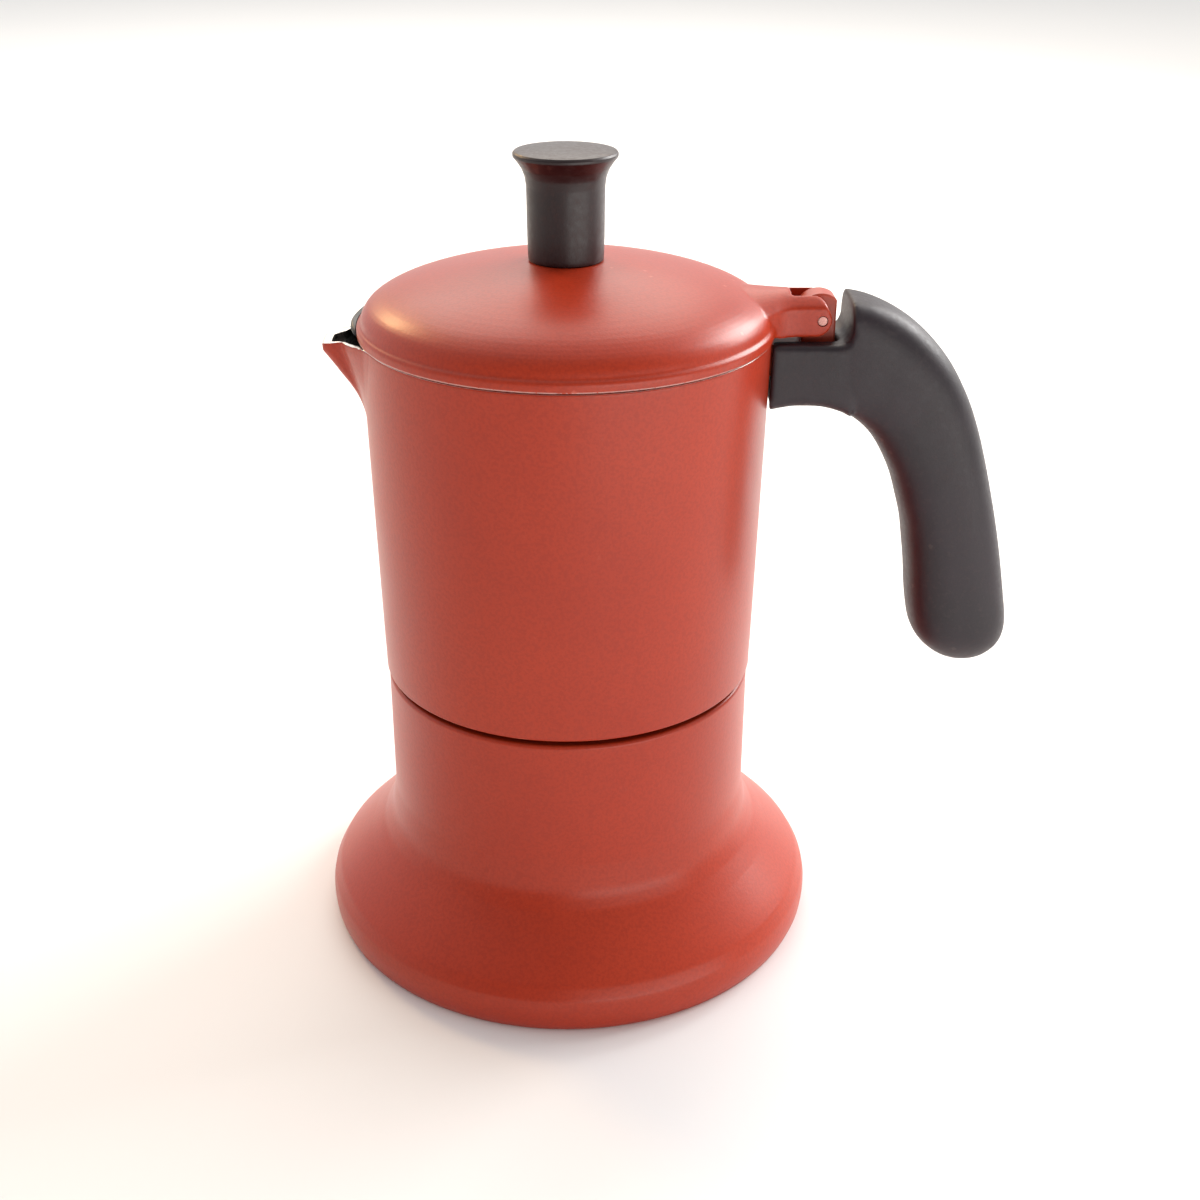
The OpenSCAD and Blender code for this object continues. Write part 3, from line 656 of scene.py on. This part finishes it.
def build_collector():
    lean = (RIM_R - SEAM_R) / (RIM_Z - SEAM_Z)
    top = RIM_Z
    points = []
    kinds = []

    def add(run, kind):
        for p in run:
            points.append(p)
            kinds.append(kind)

    add(fillet([(8.0, 74.6), (26.6, 72.5, 0.3), (28.2, 72.5, 0.1), (28.2, SEAT_Z, 0.2), (33.0, SEAT_Z, 0.3),
        (33.0, 69.2, 0.2),
                (35.2, 68.9, 0.2), (35.2, SEAM_Z, 0.5), (SEAM_R, SEAM_Z, 0.55),
                (SEAM_R + 0.02, SEAM_Z + 3)], closed=False), "n")
    zs = [SEAM_Z + 3 + (108 - SEAM_Z - 3) * i / 14 for i in range(1, 15)]
    zs += [108 + (top - 0.35 - 108) * i / 66 for i in range(1, 67)]
    add([(wall_r(z), z) for z in zs], "o")
    ro, ri = wall_r(top), wall_r(top) - RIM_T
    add([(ro - 0.06, top - 0.14), (ro - 0.16, top - 0.03), (ro - 0.3, top)], "o")
    add([(ro - 0.3 - (RIM_T - 0.5) * i / 4, top) for i in range(1, 4)], "m")
    add([(ri + 0.2, top), (ri + 0.06, top - 0.04), (ri, top - 0.2)], "i")
    zs = [top - 0.6 - (top - 0.6 - 108) * i / 60 for i in range(0, 61)]
    add([(wall_r(z) - RIM_T, z) for z in zs], "i")
    add(dense(fillet([(wall_r(106) - RIM_T, 106), (wall_r(84) - RIM_T, 84), (36.6, 78.4, 3),
        (34.6, 75.6, 2.5), (30, 75.7, 4),
                      (20, 76.9), (11, 78.0, 2), (8.2, 79.0, 0.8), (7.6, 79.0, 0.3), (7.5, 78.02, 0.1),
                      (4.95, 78.0, 0.1),
                      (4.95, 74.9)], closed=False), 2.5, closed=False), "n")
    angles = []
    a = 0.0
    while a < 2 * math.pi - 1e-6:
        angles.append(a)
        off = abs(math.degrees(a) - 180)
        a += math.radians(0.14 if off < 9 else 0.35 if off < 26 else 1.6)

    def lip(z, shift):
        return z - LIP_DROP * clamp(shift / (SPOUT_REACH - RIM_R)) ** 1.0

    def bend(r, z, ang, i):
        kind = kinds[i]
        if kind == "n" or z < 105:
            return r, z
        o = beak_offset(ang, z, False)
        n = beak_offset(ang, z, True)
        if kind == "o":
            shift = o
        elif kind == "i":
            shift = n
        else:
            share = (ro - 0.3 - r) / (RIM_T - 0.5)
            shift = o + (n - o) * share
        if shift <= 0:
            return r, z
        # the rim comes down towards the lip; the wall under it is squeezed to match
        near_top = smooth(SPOUT_FOOT, top, z)
        drop = LIP_DROP * clamp(beak_offset(ang, top, kind == "i") / (SPOUT_REACH - RIM_R)) * near_top
        return r + shift, z - drop

    bm = bmesh.new()
    rings = []
    for i, (r, z) in enumerate(points):
        ring = []
        for ang in angles:
            rr, zz = bend(r, z, ang, i)
            ring.append((rr * math.cos(ang), rr * math.sin(ang), zz))
        rings.append(ring)
    add_rings(bm, rings, True, True)
    add_thread(bm, 35.3, 33.3, 60.7 + PITCH / 2)
    # bracket inside the handle, and the upright hinge knuckle
    bracket = fillet([(38.9, 123.0), (53.0, 123.0, 1.2), (53.0, 129.4, 1.0), (38.9, 129.4)], closed=True)
    add_prism(bm, bracket, -4.2, 4.2, "XZ", 0.4)
    knuckle = [(53.0, 128.5), (53.0, PIN_Z + 3.2)] + circle(PIN_X, PIN_Z, 4.6, 44, 180,
        26)[2:] + [(PIN_X - 4.4, PIN_Z - 1.3), (PIN_X - 3.5, PIN_Z - 3.4), (PIN_X - 3.5, 128.5)]
    add_prism(bm, knuckle, -2.75, 2.75, "XZ", 0.35)
    collector = finish_mesh("collector_pot", bm, 40)

    def bare(c, n):
        r = math.hypot(c.x, c.y)
        if c.x > 41 and abs(c.y) < 6 and c.z > 120:
            return 0
        if c.z < 73:
            return r < SEAM_R - 0.75
        facing_in = (n.x * c.x + n.y * c.y) / max(r, 1) < -0.1
        return r < 36.8 or facing_in or (n.z > 0.6 and c.z > RIM_Z - 2.2)

    mark(collector, "bare", bare)
    return dress(collector, PAINT, "upper", "paint", "collector")


# ---------------------------------------------------------------- lid
LID_TOP = [
    (0.0, KNOB_SEAT), (7.7, KNOB_SEAT), (8.4, 145.38), (14, 144.75), (20, 143.8), (26, 142.5), (31, 141.15),
    (35, 139.72), (37.3, 138.55), (38.9, 137.35), (39.75, 136.2), (40.2, 135.2), (40.42, 134.35),
]


def build_lid():
    dome = [(r, along(LID_TOP, r)) for r in (0, 3, 6, 7.5, 7.9, 8.4, 10, 12, 14, 16, 18, 20, 22, 24, 26, 28,
        30, 32, 33.5, 35, 36.2, 37.3, 38.2)]
    dome += [(38.9, 137.35), (39.4, 136.75), (39.75, 136.2), (40.02, 135.7), (40.2, 135.2), (40.34, 134.7),
        (40.42, 134.35)]
    flange = fillet([(40.5, 134.15, 0.3), (41.05, 133.75, 0.4), (LID_R, 133.3, 0.3),
        (LID_R - 0.02, LID_Z, 0.22), (39.15, LID_Z, 0.2),
                     (39.15, 133.9, 0.5), (38.5, 135.2, 1), (37, 136.6, 2), (34.5, 138.1, 3), (31, 139.5),
                     (26, 140.8), (20, 142.1),
                     (14, 143.1), (7, 144.0, 0.5), (0, 144.0)], closed=False, per_arc=8)
    outline = dome + flange[0:]
    bm = bmesh.new()
    add_lathe(bm, dense(outline, 1.6, closed=False), even_angles(288), closed=False)
    shell = finish_mesh("lid_shell", bm, 60)
    # arm: sections along X, wide where it grows out of the dome
    rings = []
    half_at = [(30, 15.0), (34, 12.6), (37.5, 10.6), (40, 8.6), (42, 7.1), (44, 6.25), (46, 6.0), (52, 6.0)]
    crown_at = [(30, 140.2), (36, 139.95), (42, 139.75), (52, 139.75)]
    side_at = [(30, 136.2), (38, 136.6), (41, 137.1), (44, 137.35), (52, 137.45)]
    for x in [30 + 22 * i / 60 for i in range(61)]:
        half, crown, edge = along(half_at, x), along(crown_at, x), along(side_at, x)
        base = 131.45 if x > LID_R + 0.15 else LID_Z
        ring = []
        section = [(-half, base), (-half, edge)]
        for i in range(1, 16):
            y = -half + 2 * half * i / 16
            section.append((y, edge + (crown - edge) * (1 - (y / half) ** 2)))
        section += [(half, edge), (half, base)]
        section = fillet([(p[0], p[1], 0.45) for p in section], closed=True, per_arc=5)
        rings.append([(x, y, z) for y, z in section])
    sizes = min(len(r) for r in rings)
    rings = [r[:sizes] for r in rings]
    bm = bmesh.new()
    grid = add_rings(bm, rings, True, False)
    bm.faces.new(grid[0])
    bm.faces.new(grid[-1])
    arm = finish_mesh("arm", bm, 60)
    # round the ears off at the free end
    bm = bmesh.new()
    end = circle(PIN_X - 1.5, PIN_Z + 0.05, 3.4, -90, 50, 24)
    end = [(PIN_X - 1.5, 120.0), (60.0, 120.0), (60.0, 150.0), (PIN_X - 3.4, 150.0),
        (PIN_X - 3.4, 139.75)] + circle(PIN_X - 3.4, PIN_Z - 0.25, 5.32, 88, 40, 14) + end[::-1][6:]
    add_prism(bm, end, -12, 12, "XZ")
    cut(arm, bm)
    bm = bmesh.new()
    slot = [(PIN_X - 5.8, 145), (PIN_X - 5.8, PIN_Z + 1)] + circle(PIN_X, PIN_Z, 5.05, 169, 215,
        14) + [(PIN_X - 4.0, 128), (60, 128), (60, 145)]
    add_prism(bm, slot, -FORK_W / 2, FORK_W / 2, "XZ")
    cut(arm, bm)
    use(shell, "BOOLEAN", operation="UNION", solver="EXACT", object=arm)
    bpy.data.objects.remove(arm, do_unlink=True)
    # clear the underside where the arm ran into the hollow
    bm = bmesh.new()
    hollow = [(0, 120), (39.12, 120), (39.12, 133.9), (38.45, 135.15), (36.95, 136.55), (34.45, 138.05),
        (31, 139.45), (26, 140.75), (20, 142.05), (14, 143.05), (7, 143.95), (0, 143.95)]
    add_lathe(bm, hollow, even_angles(288), closed=False)
    cut(shell, bm)
    shell.name = "lid_cover"
    guide = shell.copy()
    guide.data = shell.data.copy()
    bpy.context.scene.collection.objects.link(guide)
    use(shell, "REMESH", mode="VOXEL", voxel_size=0.00034, adaptivity=0.0)
    group = shell.vertex_groups.new(name="near_arm")
    away = shell.vertex_groups.new(name="away")
    near_list, away_list = [], []
    for v in shell.data.vertices:
        x, y, z = v.co / MM
        wide = along(half_at, clamp(x, 30, 52))
        distance = max(abs(y) - wide, 30.0 - x)
        if distance < 2.6 and x > 28.5:
            near_list.append(v.index)
        else:
            away_list.append(v.index)
    group.add(near_list, 1.0, "REPLACE")
    away.add(away_list, 1.0, "REPLACE")
    use(shell, "SMOOTH", factor=0.5, iterations=9, vertex_group="near_arm")
    use(shell, "SHRINKWRAP", target=guide, wrap_method="NEAREST_SURFACEPOINT", vertex_group="away")
    bpy.data.objects.remove(guide, do_unlink=True)
    # bore and counterbores for the pin
    bm = bmesh.new()
    for low, high, r in ((-8, 8, PIN_R + 0.03), (-8, -5.5, 1.32), (5.5, 8, 1.32)):
        add_prism(bm, circle(PIN_X, PIN_Z, r, 0, 345, 23), low, high, "XZ")
    cut(shell, bm)
    all_smooth(shell, 44)

    def bare(c, n):
        r = math.hypot(c.x, c.y)
        # partly worn paint, partly a painted highlight: a thin lighter, partly metallic line along the lid's lower
        # edge
        if r > 40.9 and c.z < LID_Z + 0.2 and n.z > -0.8 and c.x < 38:
            return 0.4
        return 1 if (r < 39.3 and c.z < along([(0, 144.7), (20, 142.9), (31, 140.3), (37, 137.4),
            (39.2, 134.9)], r)) else 0

    mark(shell, "bare", bare)
    return dress(shell, PAINT, "top", "paint", "lid")


def build_lid_seal():
    under = LID_Z - 0.03
    ring = fillet([(36.6, 130.4, 0.3), (37.4, 130.4, 0.3), (37.7, RIM_Z + 0.02, 0.1), (39.7, RIM_Z + 0.02),
        (39.7, under), (39.1, under),
                   (39.1, 133.6, 0.3), (36.6, 133.6, 0.3)])
    bm = bmesh.new()
    add_lathe(bm, dense(ring, 1.0), even_angles(256))
    # the tongue over the mouth of the spout: a soft lobe, with the ring turned a little in the lid
    rows = []
    for i in range(65):
        s = -1 + 2 * i / 64
        a = math.radians(169 + 17.2 * s)
        full = max(0.0, 1 - abs(s) ** 4) ** 0.7
        out = 41.42 + 1.33 * full
        high = RIM_Z + 0.4 + 1.65 * full
        section = fillet([(39.4, RIM_Z + 0.03), (out - 0.2, RIM_Z + 0.03, 0.2), (out, high - 0.5, 0.5),
            (out - 0.45, high, 0.45), (41.36, high - 0.1, 0.08),
                          (41.32, under, 0.05), (39.4, under)], closed=True, per_arc=4)
        rows.append([(r * math.cos(a), r * math.sin(a), z) for r, z in section])
    size = min(len(r) for r in rows)
    grid = add_rings(bm, [r[:size] for r in rows], True, False)
    bm.faces.new(grid[0])
    bm.faces.new(grid[-1])
    seal = finish_mesh("lid_seal_ring", bm, 50)
    return dress(seal, BLACK_SILICONE, "top", "lid_seal", "lid_seal")


def build_hinge_pin():
    half = ARM_W / 2 - 0.15
    outline = fillet([(0, -half), (PIN_R, -half, 0.25), (PIN_R, half, 0.25), (0, half)], closed=False)
    side = Matrix.Translation(Vector((PIN_X, 0, PIN_Z)) * MM) @ Matrix.Rotation(-math.pi / 2, 4, "X")
    pin = turned("hinge_pin_turned", outline, closed=False, count=64, place=side)
    return dress(pin, PIN_METAL, "top", "steel", "hinge_pin")


# ---------------------------------------------------------------- knob
def build_knob():
    outline = fillet(
        [
            (3.05, KNOB_SEAT + 0.05), (KNOB_R - 0.2, KNOB_SEAT + 0.05, 0.3), (KNOB_R - 0.12, 146.3, 0.5),
            (KNOB_R, 150), (KNOB_R + 0.04, 156),
            (KNOB_R + 0.1, 159.8, 3), (KNOB_R + 0.35, 161.6, 2.5), (KNOB_R + 0.95, 163.1, 2.2),
            (KNOB_R + 1.8, 164.35, 1.5),
            (KNOB_RIM - 0.02, 165.3, 0.5), (KNOB_RIM, 165.85, 0.3), (KNOB_RIM - 0.35, 166.25, 0.3),
            (KNOB_RIM - 1.2, 166.42, 0.6),
            (6.0, 166.72), (2.5, 166.87), (0, KNOB_TOP),
        ],
        closed=False, per_arc=8,
    )
    outline = [(3.05, 155.6)] + outline
    outline = [(0.0, 155.6)] + outline
    knob = turned("knob_turned", dense(outline, 0.7, closed=False), closed=False, count=192, sharp=40)
    return dress(knob, KNOB_BAKELITE, "top", "bakelite", "knob")


# ---------------------------------------------------------------- handle
GRIP = [
    # outer x, z, inner x, z, share of half width, squareness
    (CROWN_X, 138.6, CROWN_X, 115.9, 0.92, 5.0), (60.5, 137.6, 56.8, 114.8, 0.94, 4.0),
    (66.1, 135.1, 59.1, 112.9, 0.95, 3.3),
    (71.5, 131.1, 61.4, 110.5, 0.97, 2.9), (76.6, 125.4, 63.4, 107.6, 0.97, 2.8),
    (80.7, 118.4, 65.3, 104.1, 0.98, 2.7),
    (83.5, 111.7, 66.9, 100.5, 0.98, 2.6), (85.7, 104.8, 68.3, 96.1, 1.0, 2.6),
    (87.9, 96.8, 69.8, 90.8, 1.0, 2.6),
    (89.7, 89.7, 70.7, 85.5, 1.0, 2.6), (91.3, 82.4, 71.5, 80.3, 1.0, 2.6),
    (92.6, 75.6, 72.1, 75.0, 1.0, 2.6),
    (93.6, 70.0, 72.9, 70.0, 1.0, 2.6), (93.8, 66.4, 73.9, 66.2, 0.97, 2.5),
    (93.0, 63.3, 75.9, 63.1, 0.86, 2.4),
    (90.9, 60.7, 78.9, 60.5, 0.65, 2.2), (88.2, 59.2, 81.9, 59.2, 0.36, 2.1),
    (86.2, 58.75, 84.2, 58.78, 0.1, 2.0),
]
GRIP_HALF = 9.5
# underside of the root: distance from the pot axis, height
ROOT_UNDER = [
    (38.5, 116.4), (40.1, 116.7), (41.9, 117.1), (43.7, 117.4), (45.5, 117.6), (49.1, 117.6), (50.9, 117.4),
    (52.7, 117.0),
    (54.5, 116.4), (56.3, 115.4), (58.0, 114.0),
]


def spline_rows(rows, per):
    """Catmull-Rom through rows of numbers."""
    out = []
    n = len(rows)
    for i in range(n - 1):
        p0, p1, p2, p3 = rows[max(0, i - 1)], rows[i], rows[i + 1], rows[min(n - 1, i + 2)]
        for k in range(per):
            t = k / per
            out.append([
                0.5 * (2 * b + (c - a) * t + (2 * a - 5 * b + 4 * c - d) * t * t + (3 * b - a - 3 * c + d) * t ** 3)
                for a, b, c, d in zip(p0, p1, p2, p3)
            ])
    out.append(list(rows[-1]))
    return out


def build_handle():
    rings = []
    for ox, oz, ix, iz, share, square in spline_rows(GRIP, 6):
        ring = []
        for k in range(72):
            a = 2 * math.pi * k / 72
            c, s = math.cos(a), math.sin(a)
            u = math.copysign(abs(c) ** (2 / square), c)
            v = math.copysign(abs(s) ** (2 / square), s)
            ring.append(((ox + ix) / 2 + (ox - ix) / 2 * u, GRIP_HALF * max(share, 0.02) * v,
                (oz + iz) / 2 + (oz - iz) / 2 * u))
        rings.append(ring)
    bm = bmesh.new()
    grid = add_rings(bm, rings, True, False)
    bm.faces.new(grid[0])
    bm.faces.new(grid[-1])
    handle = finish_mesh("handle_grip", bm, 60)
    bm = bmesh.new()
    rings = []
    for i in range(41):
        x = 38.5 + 18.0 * i / 40
        low, half = along(ROOT_UNDER, x), ROOT_HALF + 0.4 * smooth(44, 56, x)
        climb = clamp(x - 53.2, 0, 2.4)
        high = ROOT_TOP + 2.4 - math.sqrt(max(0.0, 2.4 ** 2 - climb ** 2))
        slab = fillet([(-half, low, 2.4), (half, low, 2.4), (half, high, 1.2), (-half, high, 1.2)],
            per_arc=10)
        rings.append([(x, y, z) for y, z in slab])
    grid = add_rings(bm, rings, True, False)
    bm.faces.new(grid[0])
    bm.faces.new(grid[-1])
    root = finish_mesh("root", bm, 60)
    use(handle, "BOOLEAN", operation="UNION", solver="EXACT", object=root)
    bpy.data.objects.remove(root, do_unlink=True)
    bm = bmesh.new()
    gap = 0.36
    add_lathe(bm, [(0, 90), (wall_r(90) + gap, 90), (wall_r(150) + gap, 150), (0, 150)], even_angles(256),
        closed=False)
    cut(handle, bm)
    bm = bmesh.new()
    add_prism(bm, [(36, 122.95), (53.3, 122.95), (53.3, 150), (36, 150)], -4.3, 4.3, "XZ")
    pocket = bm
    cut(handle, pocket)
    use(handle, "REMESH", mode="VOXEL", voxel_size=0.00038, adaptivity=0.0)
    use(handle, "SMOOTH", factor=0.5, iterations=14)
    bm = bmesh.new()
    add_prism(bm, [(SCREW_X + x, y) for x, y in circle(0, 0, 2.15, 0, 350, 35)], ROOT_LOW - 3, 124, "XY")
    add_prism(bm, [(SCREW_X + x, y) for x, y in circle(0, 0, 3.8, 0, 350, 47)], ROOT_LOW - 3, 120.2, "XY")
    cut(handle, bm)
    all_smooth(handle, 50)
    return dress(handle, BAKELITE, "upper", "bakelite", "handle")


# ---------------------------------------------------------------- funnel, strainers, gasket, riser
def build_funnel():
    low = NECK_TOP - BASKET_DEPTH
    sieve = low + 1.4
    top = NECK_TOP + 0.7
    outline = fillet(
        [
            (BASKET_R - 0.8, top, 0.4), (32, top, 0.3), (32, NECK_TOP + 0.02, 0.3),
            (BASKET_R, NECK_TOP + 0.02, 0.5), (BASKET_R, low + 1.2, 1.2),
            (BASKET_R - 1.2, low, 1.0), (7, low - 1.8, 3), (4.8, low - 4, 2), (4.8, STEM_LOW, 0.3),
            (4, STEM_LOW, 0.3), (4, low - 3.4, 2),
            (6.4, low - 1, 3), (25.2, low + 0.8, 0.6), (BASKET_R - 0.8, sieve - 0.6),
            (BASKET_R - 0.8, sieve),
        ]
    )
    funnel = turned("funnel_spun", outline, sharp=40, step=2.0)
    return dress(funnel, ALUMINIUM, "base", "aluminium", "funnel")


def build_strainer(name, low, thick, radius, body, node):
    """Perforated disc with real round holes and a softly rolled edge."""
    spacing, hole, sides = 4.6, 0.8, 18
    centres = [(0.0, 0.0)]
    for ring in range(1, 6):
        for k in range(6 * ring):
            a = 2 * math.pi * k / (6 * ring)
            centres.append((ring * spacing * math.cos(a), ring * spacing * math.sin(a)))
    outline = fillet([(0, low), (radius, low, 0.25), (radius, low + thick, 0.25), (0, low + thick)],
        closed=False)
    disc = turned(name, outline, closed=False, count=160)
    bm = bmesh.new()
    for cx, cy in centres:
        ring = [(cx + hole * math.cos(2 * math.pi * i / sides),
            cy + hole * math.sin(2 * math.pi * i / sides)) for i in range(sides)]
        add_prism(bm, ring, low - 1, low + thick + 1, "XY")
    cut(disc, bm)
    all_smooth(disc, 35)
    return dress(disc, ALUMINIUM, body, "aluminium", node)


def build_gasket():
    low = NECK_TOP + 0.72
    outline = fillet([(26.6, low, 0.35), (32.9, low, 0.45), (32.9, SEAT_Z, 0.45), (26.6, SEAT_Z, 0.35)])
    ring = turned("gasket_ring", outline, step=0.9)
    return dress(ring, WHITE_SILICONE, "strainer", "gasket", "gasket")


def build_riser():
    outline = fillet([(3.4, 75.6), (4.9, 75.6, 0.2), (4.9, 78.02), (7.4, 78.04, 0.1), (7.4, 79.2, 0.4),
        (5.9, 80.4, 1), (5.4, 83, 2),
                      (4.7, RISER_TOP, 0.2), (3.4, RISER_TOP, 0.2)])
    tube = turned("riser_tube_spun", outline, count=96, step=1.6)
    bm = bmesh.new()
    window = fillet([(-1.8, RISER_TOP - 7, 0.8), (1.8, RISER_TOP - 7, 0.8), (1.8, RISER_TOP - 2.5, 0.8),
        (-1.8, RISER_TOP - 2.5, 0.8)])
    add_prism(bm, window, -9, -2, "XZ")
    cut(tube, bm)
    bm = bmesh.new()
    add_prism(bm, window, 2, 9, "XZ")
    cut(tube, bm)
    all_smooth(tube, 35)
    dress(tube, ALUMINIUM, "upper", "aluminium", "riser_tube")
    cap_line = fillet([(0, RISER_TOP - 2), (3.2, RISER_TOP - 2, 0.4), (3.35, RISER_TOP + 0.02),
        (5.2, RISER_TOP + 0.04, 0.1), (5.2, RISER_TOP + 0.8, 0.4),
                       (3.6, RISER_TOP + 1.9, 1.5), (0, RISER_TOP + 2.4)], closed=False)
    cap = turned("riser_cap_spun", cap_line, closed=False, count=96)
    dress(cap, ALUMINIUM, "upper", "aluminium", "riser_cap")


def build_valve():
    """Brass safety valve: hexagon with a chamfered face, a collar and a bored front."""
    side = Matrix.Translation(Vector((0, 0, VALVE_Z * MM))) @ Matrix.Rotation(-math.pi / 2, 4, "X")
    low, high = BOSS_Y + 0.8, BOSS_Y + 5.6
    rows = []
    for h, limit in ((low, 7.0), (low + 0.5, 7.5), (low + 0.9, 9.0), (high - 1.1, 9.0), (high - 0.6, 7.35),
        (high, 6.5)):
        ring = []
        for i in range(120):
            a = 2 * math.pi * i / 120
            flat = 7.6 * math.cos(math.pi / 6) / math.cos((a + math.pi / 6) % (math.pi / 3) - math.pi / 6)
            r = min(flat, limit, 7.52)
            ring.append((r * math.cos(a), r * math.sin(a), h))
        rows.append(ring)
    bm = bmesh.new()
    inner = []
    for r, h in ((5.0, low), (5.0, 35.0), (4.7, 34.6), (1.7, 34.6), (1.7, 36.0), (3.2, 36.0),
        (3.2, high - 0.3), (3.5, high)):
        inner.append([(r * math.cos(a), r * math.sin(a), h) for a in even_angles(120)])
    add_rings(bm, rows + inner[::-1], True, True)
    bmesh.ops.transform(bm, matrix=side, verts=bm.verts)
    body = finish_mesh("valve_hex", bm, 28)
    dress(body, BRASS, "base", "brass", "valve_body")
    ring = turned("valve_washer", fillet([(5.06, BOSS_Y, 0.1), (7.2, BOSS_Y, 0.2), (7.2, BOSS_Y + 0.8, 0.2),
        (5.06, BOSS_Y + 0.8, 0.1)]), count=96, place=side)
    dress(ring, FIBRE, "base", "valve_seal", "valve_seal")


build_boiler()
build_collector()
build_lid()
build_lid_seal()
build_hinge_pin()
build_knob()
build_handle()
build_funnel()
build_strainer("funnel_sieve_plate", NECK_TOP - BASKET_DEPTH + 1.4, 0.6, BASKET_R - 0.85, "base",
    "funnel_sieve")
build_strainer("filter_plate_disc", SEAT_Z + 0.02, 0.8, 28.0, "strainer", "filter_plate")
build_gasket()
build_riser()
build_valve()

keep_cad("valve_plunger", STEEL_SIDE)
keep_cad("valve_spring", STEEL_SIDE)
keep_cad("valve_cap", BRASS)
keep_cad("knob_insert", BRASS_UPRIGHT)
keep_cad("knob_screw", STEEL)
keep_cad("knob_washer", STEEL)
keep_cad("handle_screw", STEEL)
keep_cad("handle_washer", STEEL)


# ---------------------------------------------------------------- floor, light, camera
def build_stage():
    k = Look("pale_floor")
    cloud = k.noise(3, 2)
    k.set(Base_Color=k.mix(cloud, (0.88, 0.88, 0.88, 1), (0.91, 0.91, 0.905, 1)),
        Roughness=k.span(cloud, 0.3, 0.7, 0.6, 0.7))
    bm = bmesh.new()
    bmesh.ops.create_grid(bm, x_segments=8, y_segments=8, size=20)
    floor = finish_mesh("floor", bm)
    floor.data.materials.append(k.mat)

    # pale room: bright behind the pot, dimming smoothly towards the side that faces the camera
    world = bpy.data.worlds.new("studio")
    bpy.context.scene.world = world
    world.use_nodes = True
    tree = world.node_tree
    background = tree.nodes["Background"]
    background.inputs["Color"].default_value = (1.0, 0.995, 0.985, 1)
    coords = tree.nodes.new("ShaderNodeTexCoord")
    split = tree.nodes.new("ShaderNodeSeparateXYZ")
    tree.links.new(coords.outputs["Generated"], split.inputs["Vector"])
    depth = tree.nodes.new("ShaderNodeMapRange")
    depth.interpolation_type = "SMOOTHSTEP"
    depth.inputs["From Min"].default_value = -0.9
    depth.inputs["From Max"].default_value = 0.5
    depth.inputs["To Min"].default_value = 0.26
    depth.inputs["To Max"].default_value = 1.04
    tree.links.new(split.outputs["Y"], depth.inputs["Value"])
    tree.links.new(depth.outputs["Result"], background.inputs["Strength"])

    def lamp(name, where, aim, size, power, colour, size_y=None):
        data = bpy.data.lights.new(name, "AREA")
        data.shape = "RECTANGLE"
        data.size = size
        data.size_y = size_y or size
        data.energy = power
        data.color = colour
        obj = bpy.data.objects.new(name, data)
        bpy.context.scene.collection.objects.link(obj)
        obj.location = where
        obj.rotation_euler = (Vector(aim) - Vector(where)).to_track_quat("-Z", "Y").to_euler()

    lamp("window_right", (0.80, 0.52, 0.60), (0, 0, 0.09), 0.6, 11.5, (1.0, 0.985, 0.97), 0.5)
    lamp("warm_left", (-0.50, 0.62, 0.58), (0, 0, 0.11), 0.16, 2.4, (1.0, 0.64, 0.30))
    lamp("warm_back", (-0.05, 1.15, 1.05), (0, 0.75, 0), 1.1, 10, (1.0, 0.90, 0.80))
    lamp("low_front", (0.30, -0.42, 0.08), (0, 0, 0.01), 0.60, 0.85, (1.0, 0.96, 0.92), 0.14)


SENSOR_WIDTH = 36
FOCAL_PER_WIDTH = 1.3465
CAMERA_AT = (0.0, -0.31165, 0.2225)
CAMERA_ANGLES = (0.022, 0.450, 0.004)


def build_camera():
    data = bpy.data.cameras.new("camera")
    data.sensor_width = SENSOR_WIDTH
    data.lens = SENSOR_WIDTH * FOCAL_PER_WIDTH
    data.clip_start = 0.01
    camera = bpy.data.objects.new("camera", data)
    bpy.context.scene.collection.objects.link(camera)
    yaw, pitch, roll = CAMERA_ANGLES
    forward = Vector((math.sin(yaw) * math.cos(pitch), math.cos(yaw) * math.cos(pitch), -math.sin(pitch)))
    right = Vector((math.cos(yaw), -math.sin(yaw), 0))
    up = right.cross(forward)
    right_rolled = right * math.cos(roll) + up * math.sin(roll)
    up_rolled = up * math.cos(roll) - right * math.sin(roll)
    turn = Matrix((right_rolled, up_rolled, -forward)).transposed().to_4x4()
    camera.matrix_world = Matrix.Translation(Vector(CAMERA_AT)) @ turn
    bpy.context.scene.camera = camera


build_stage()
build_camera()
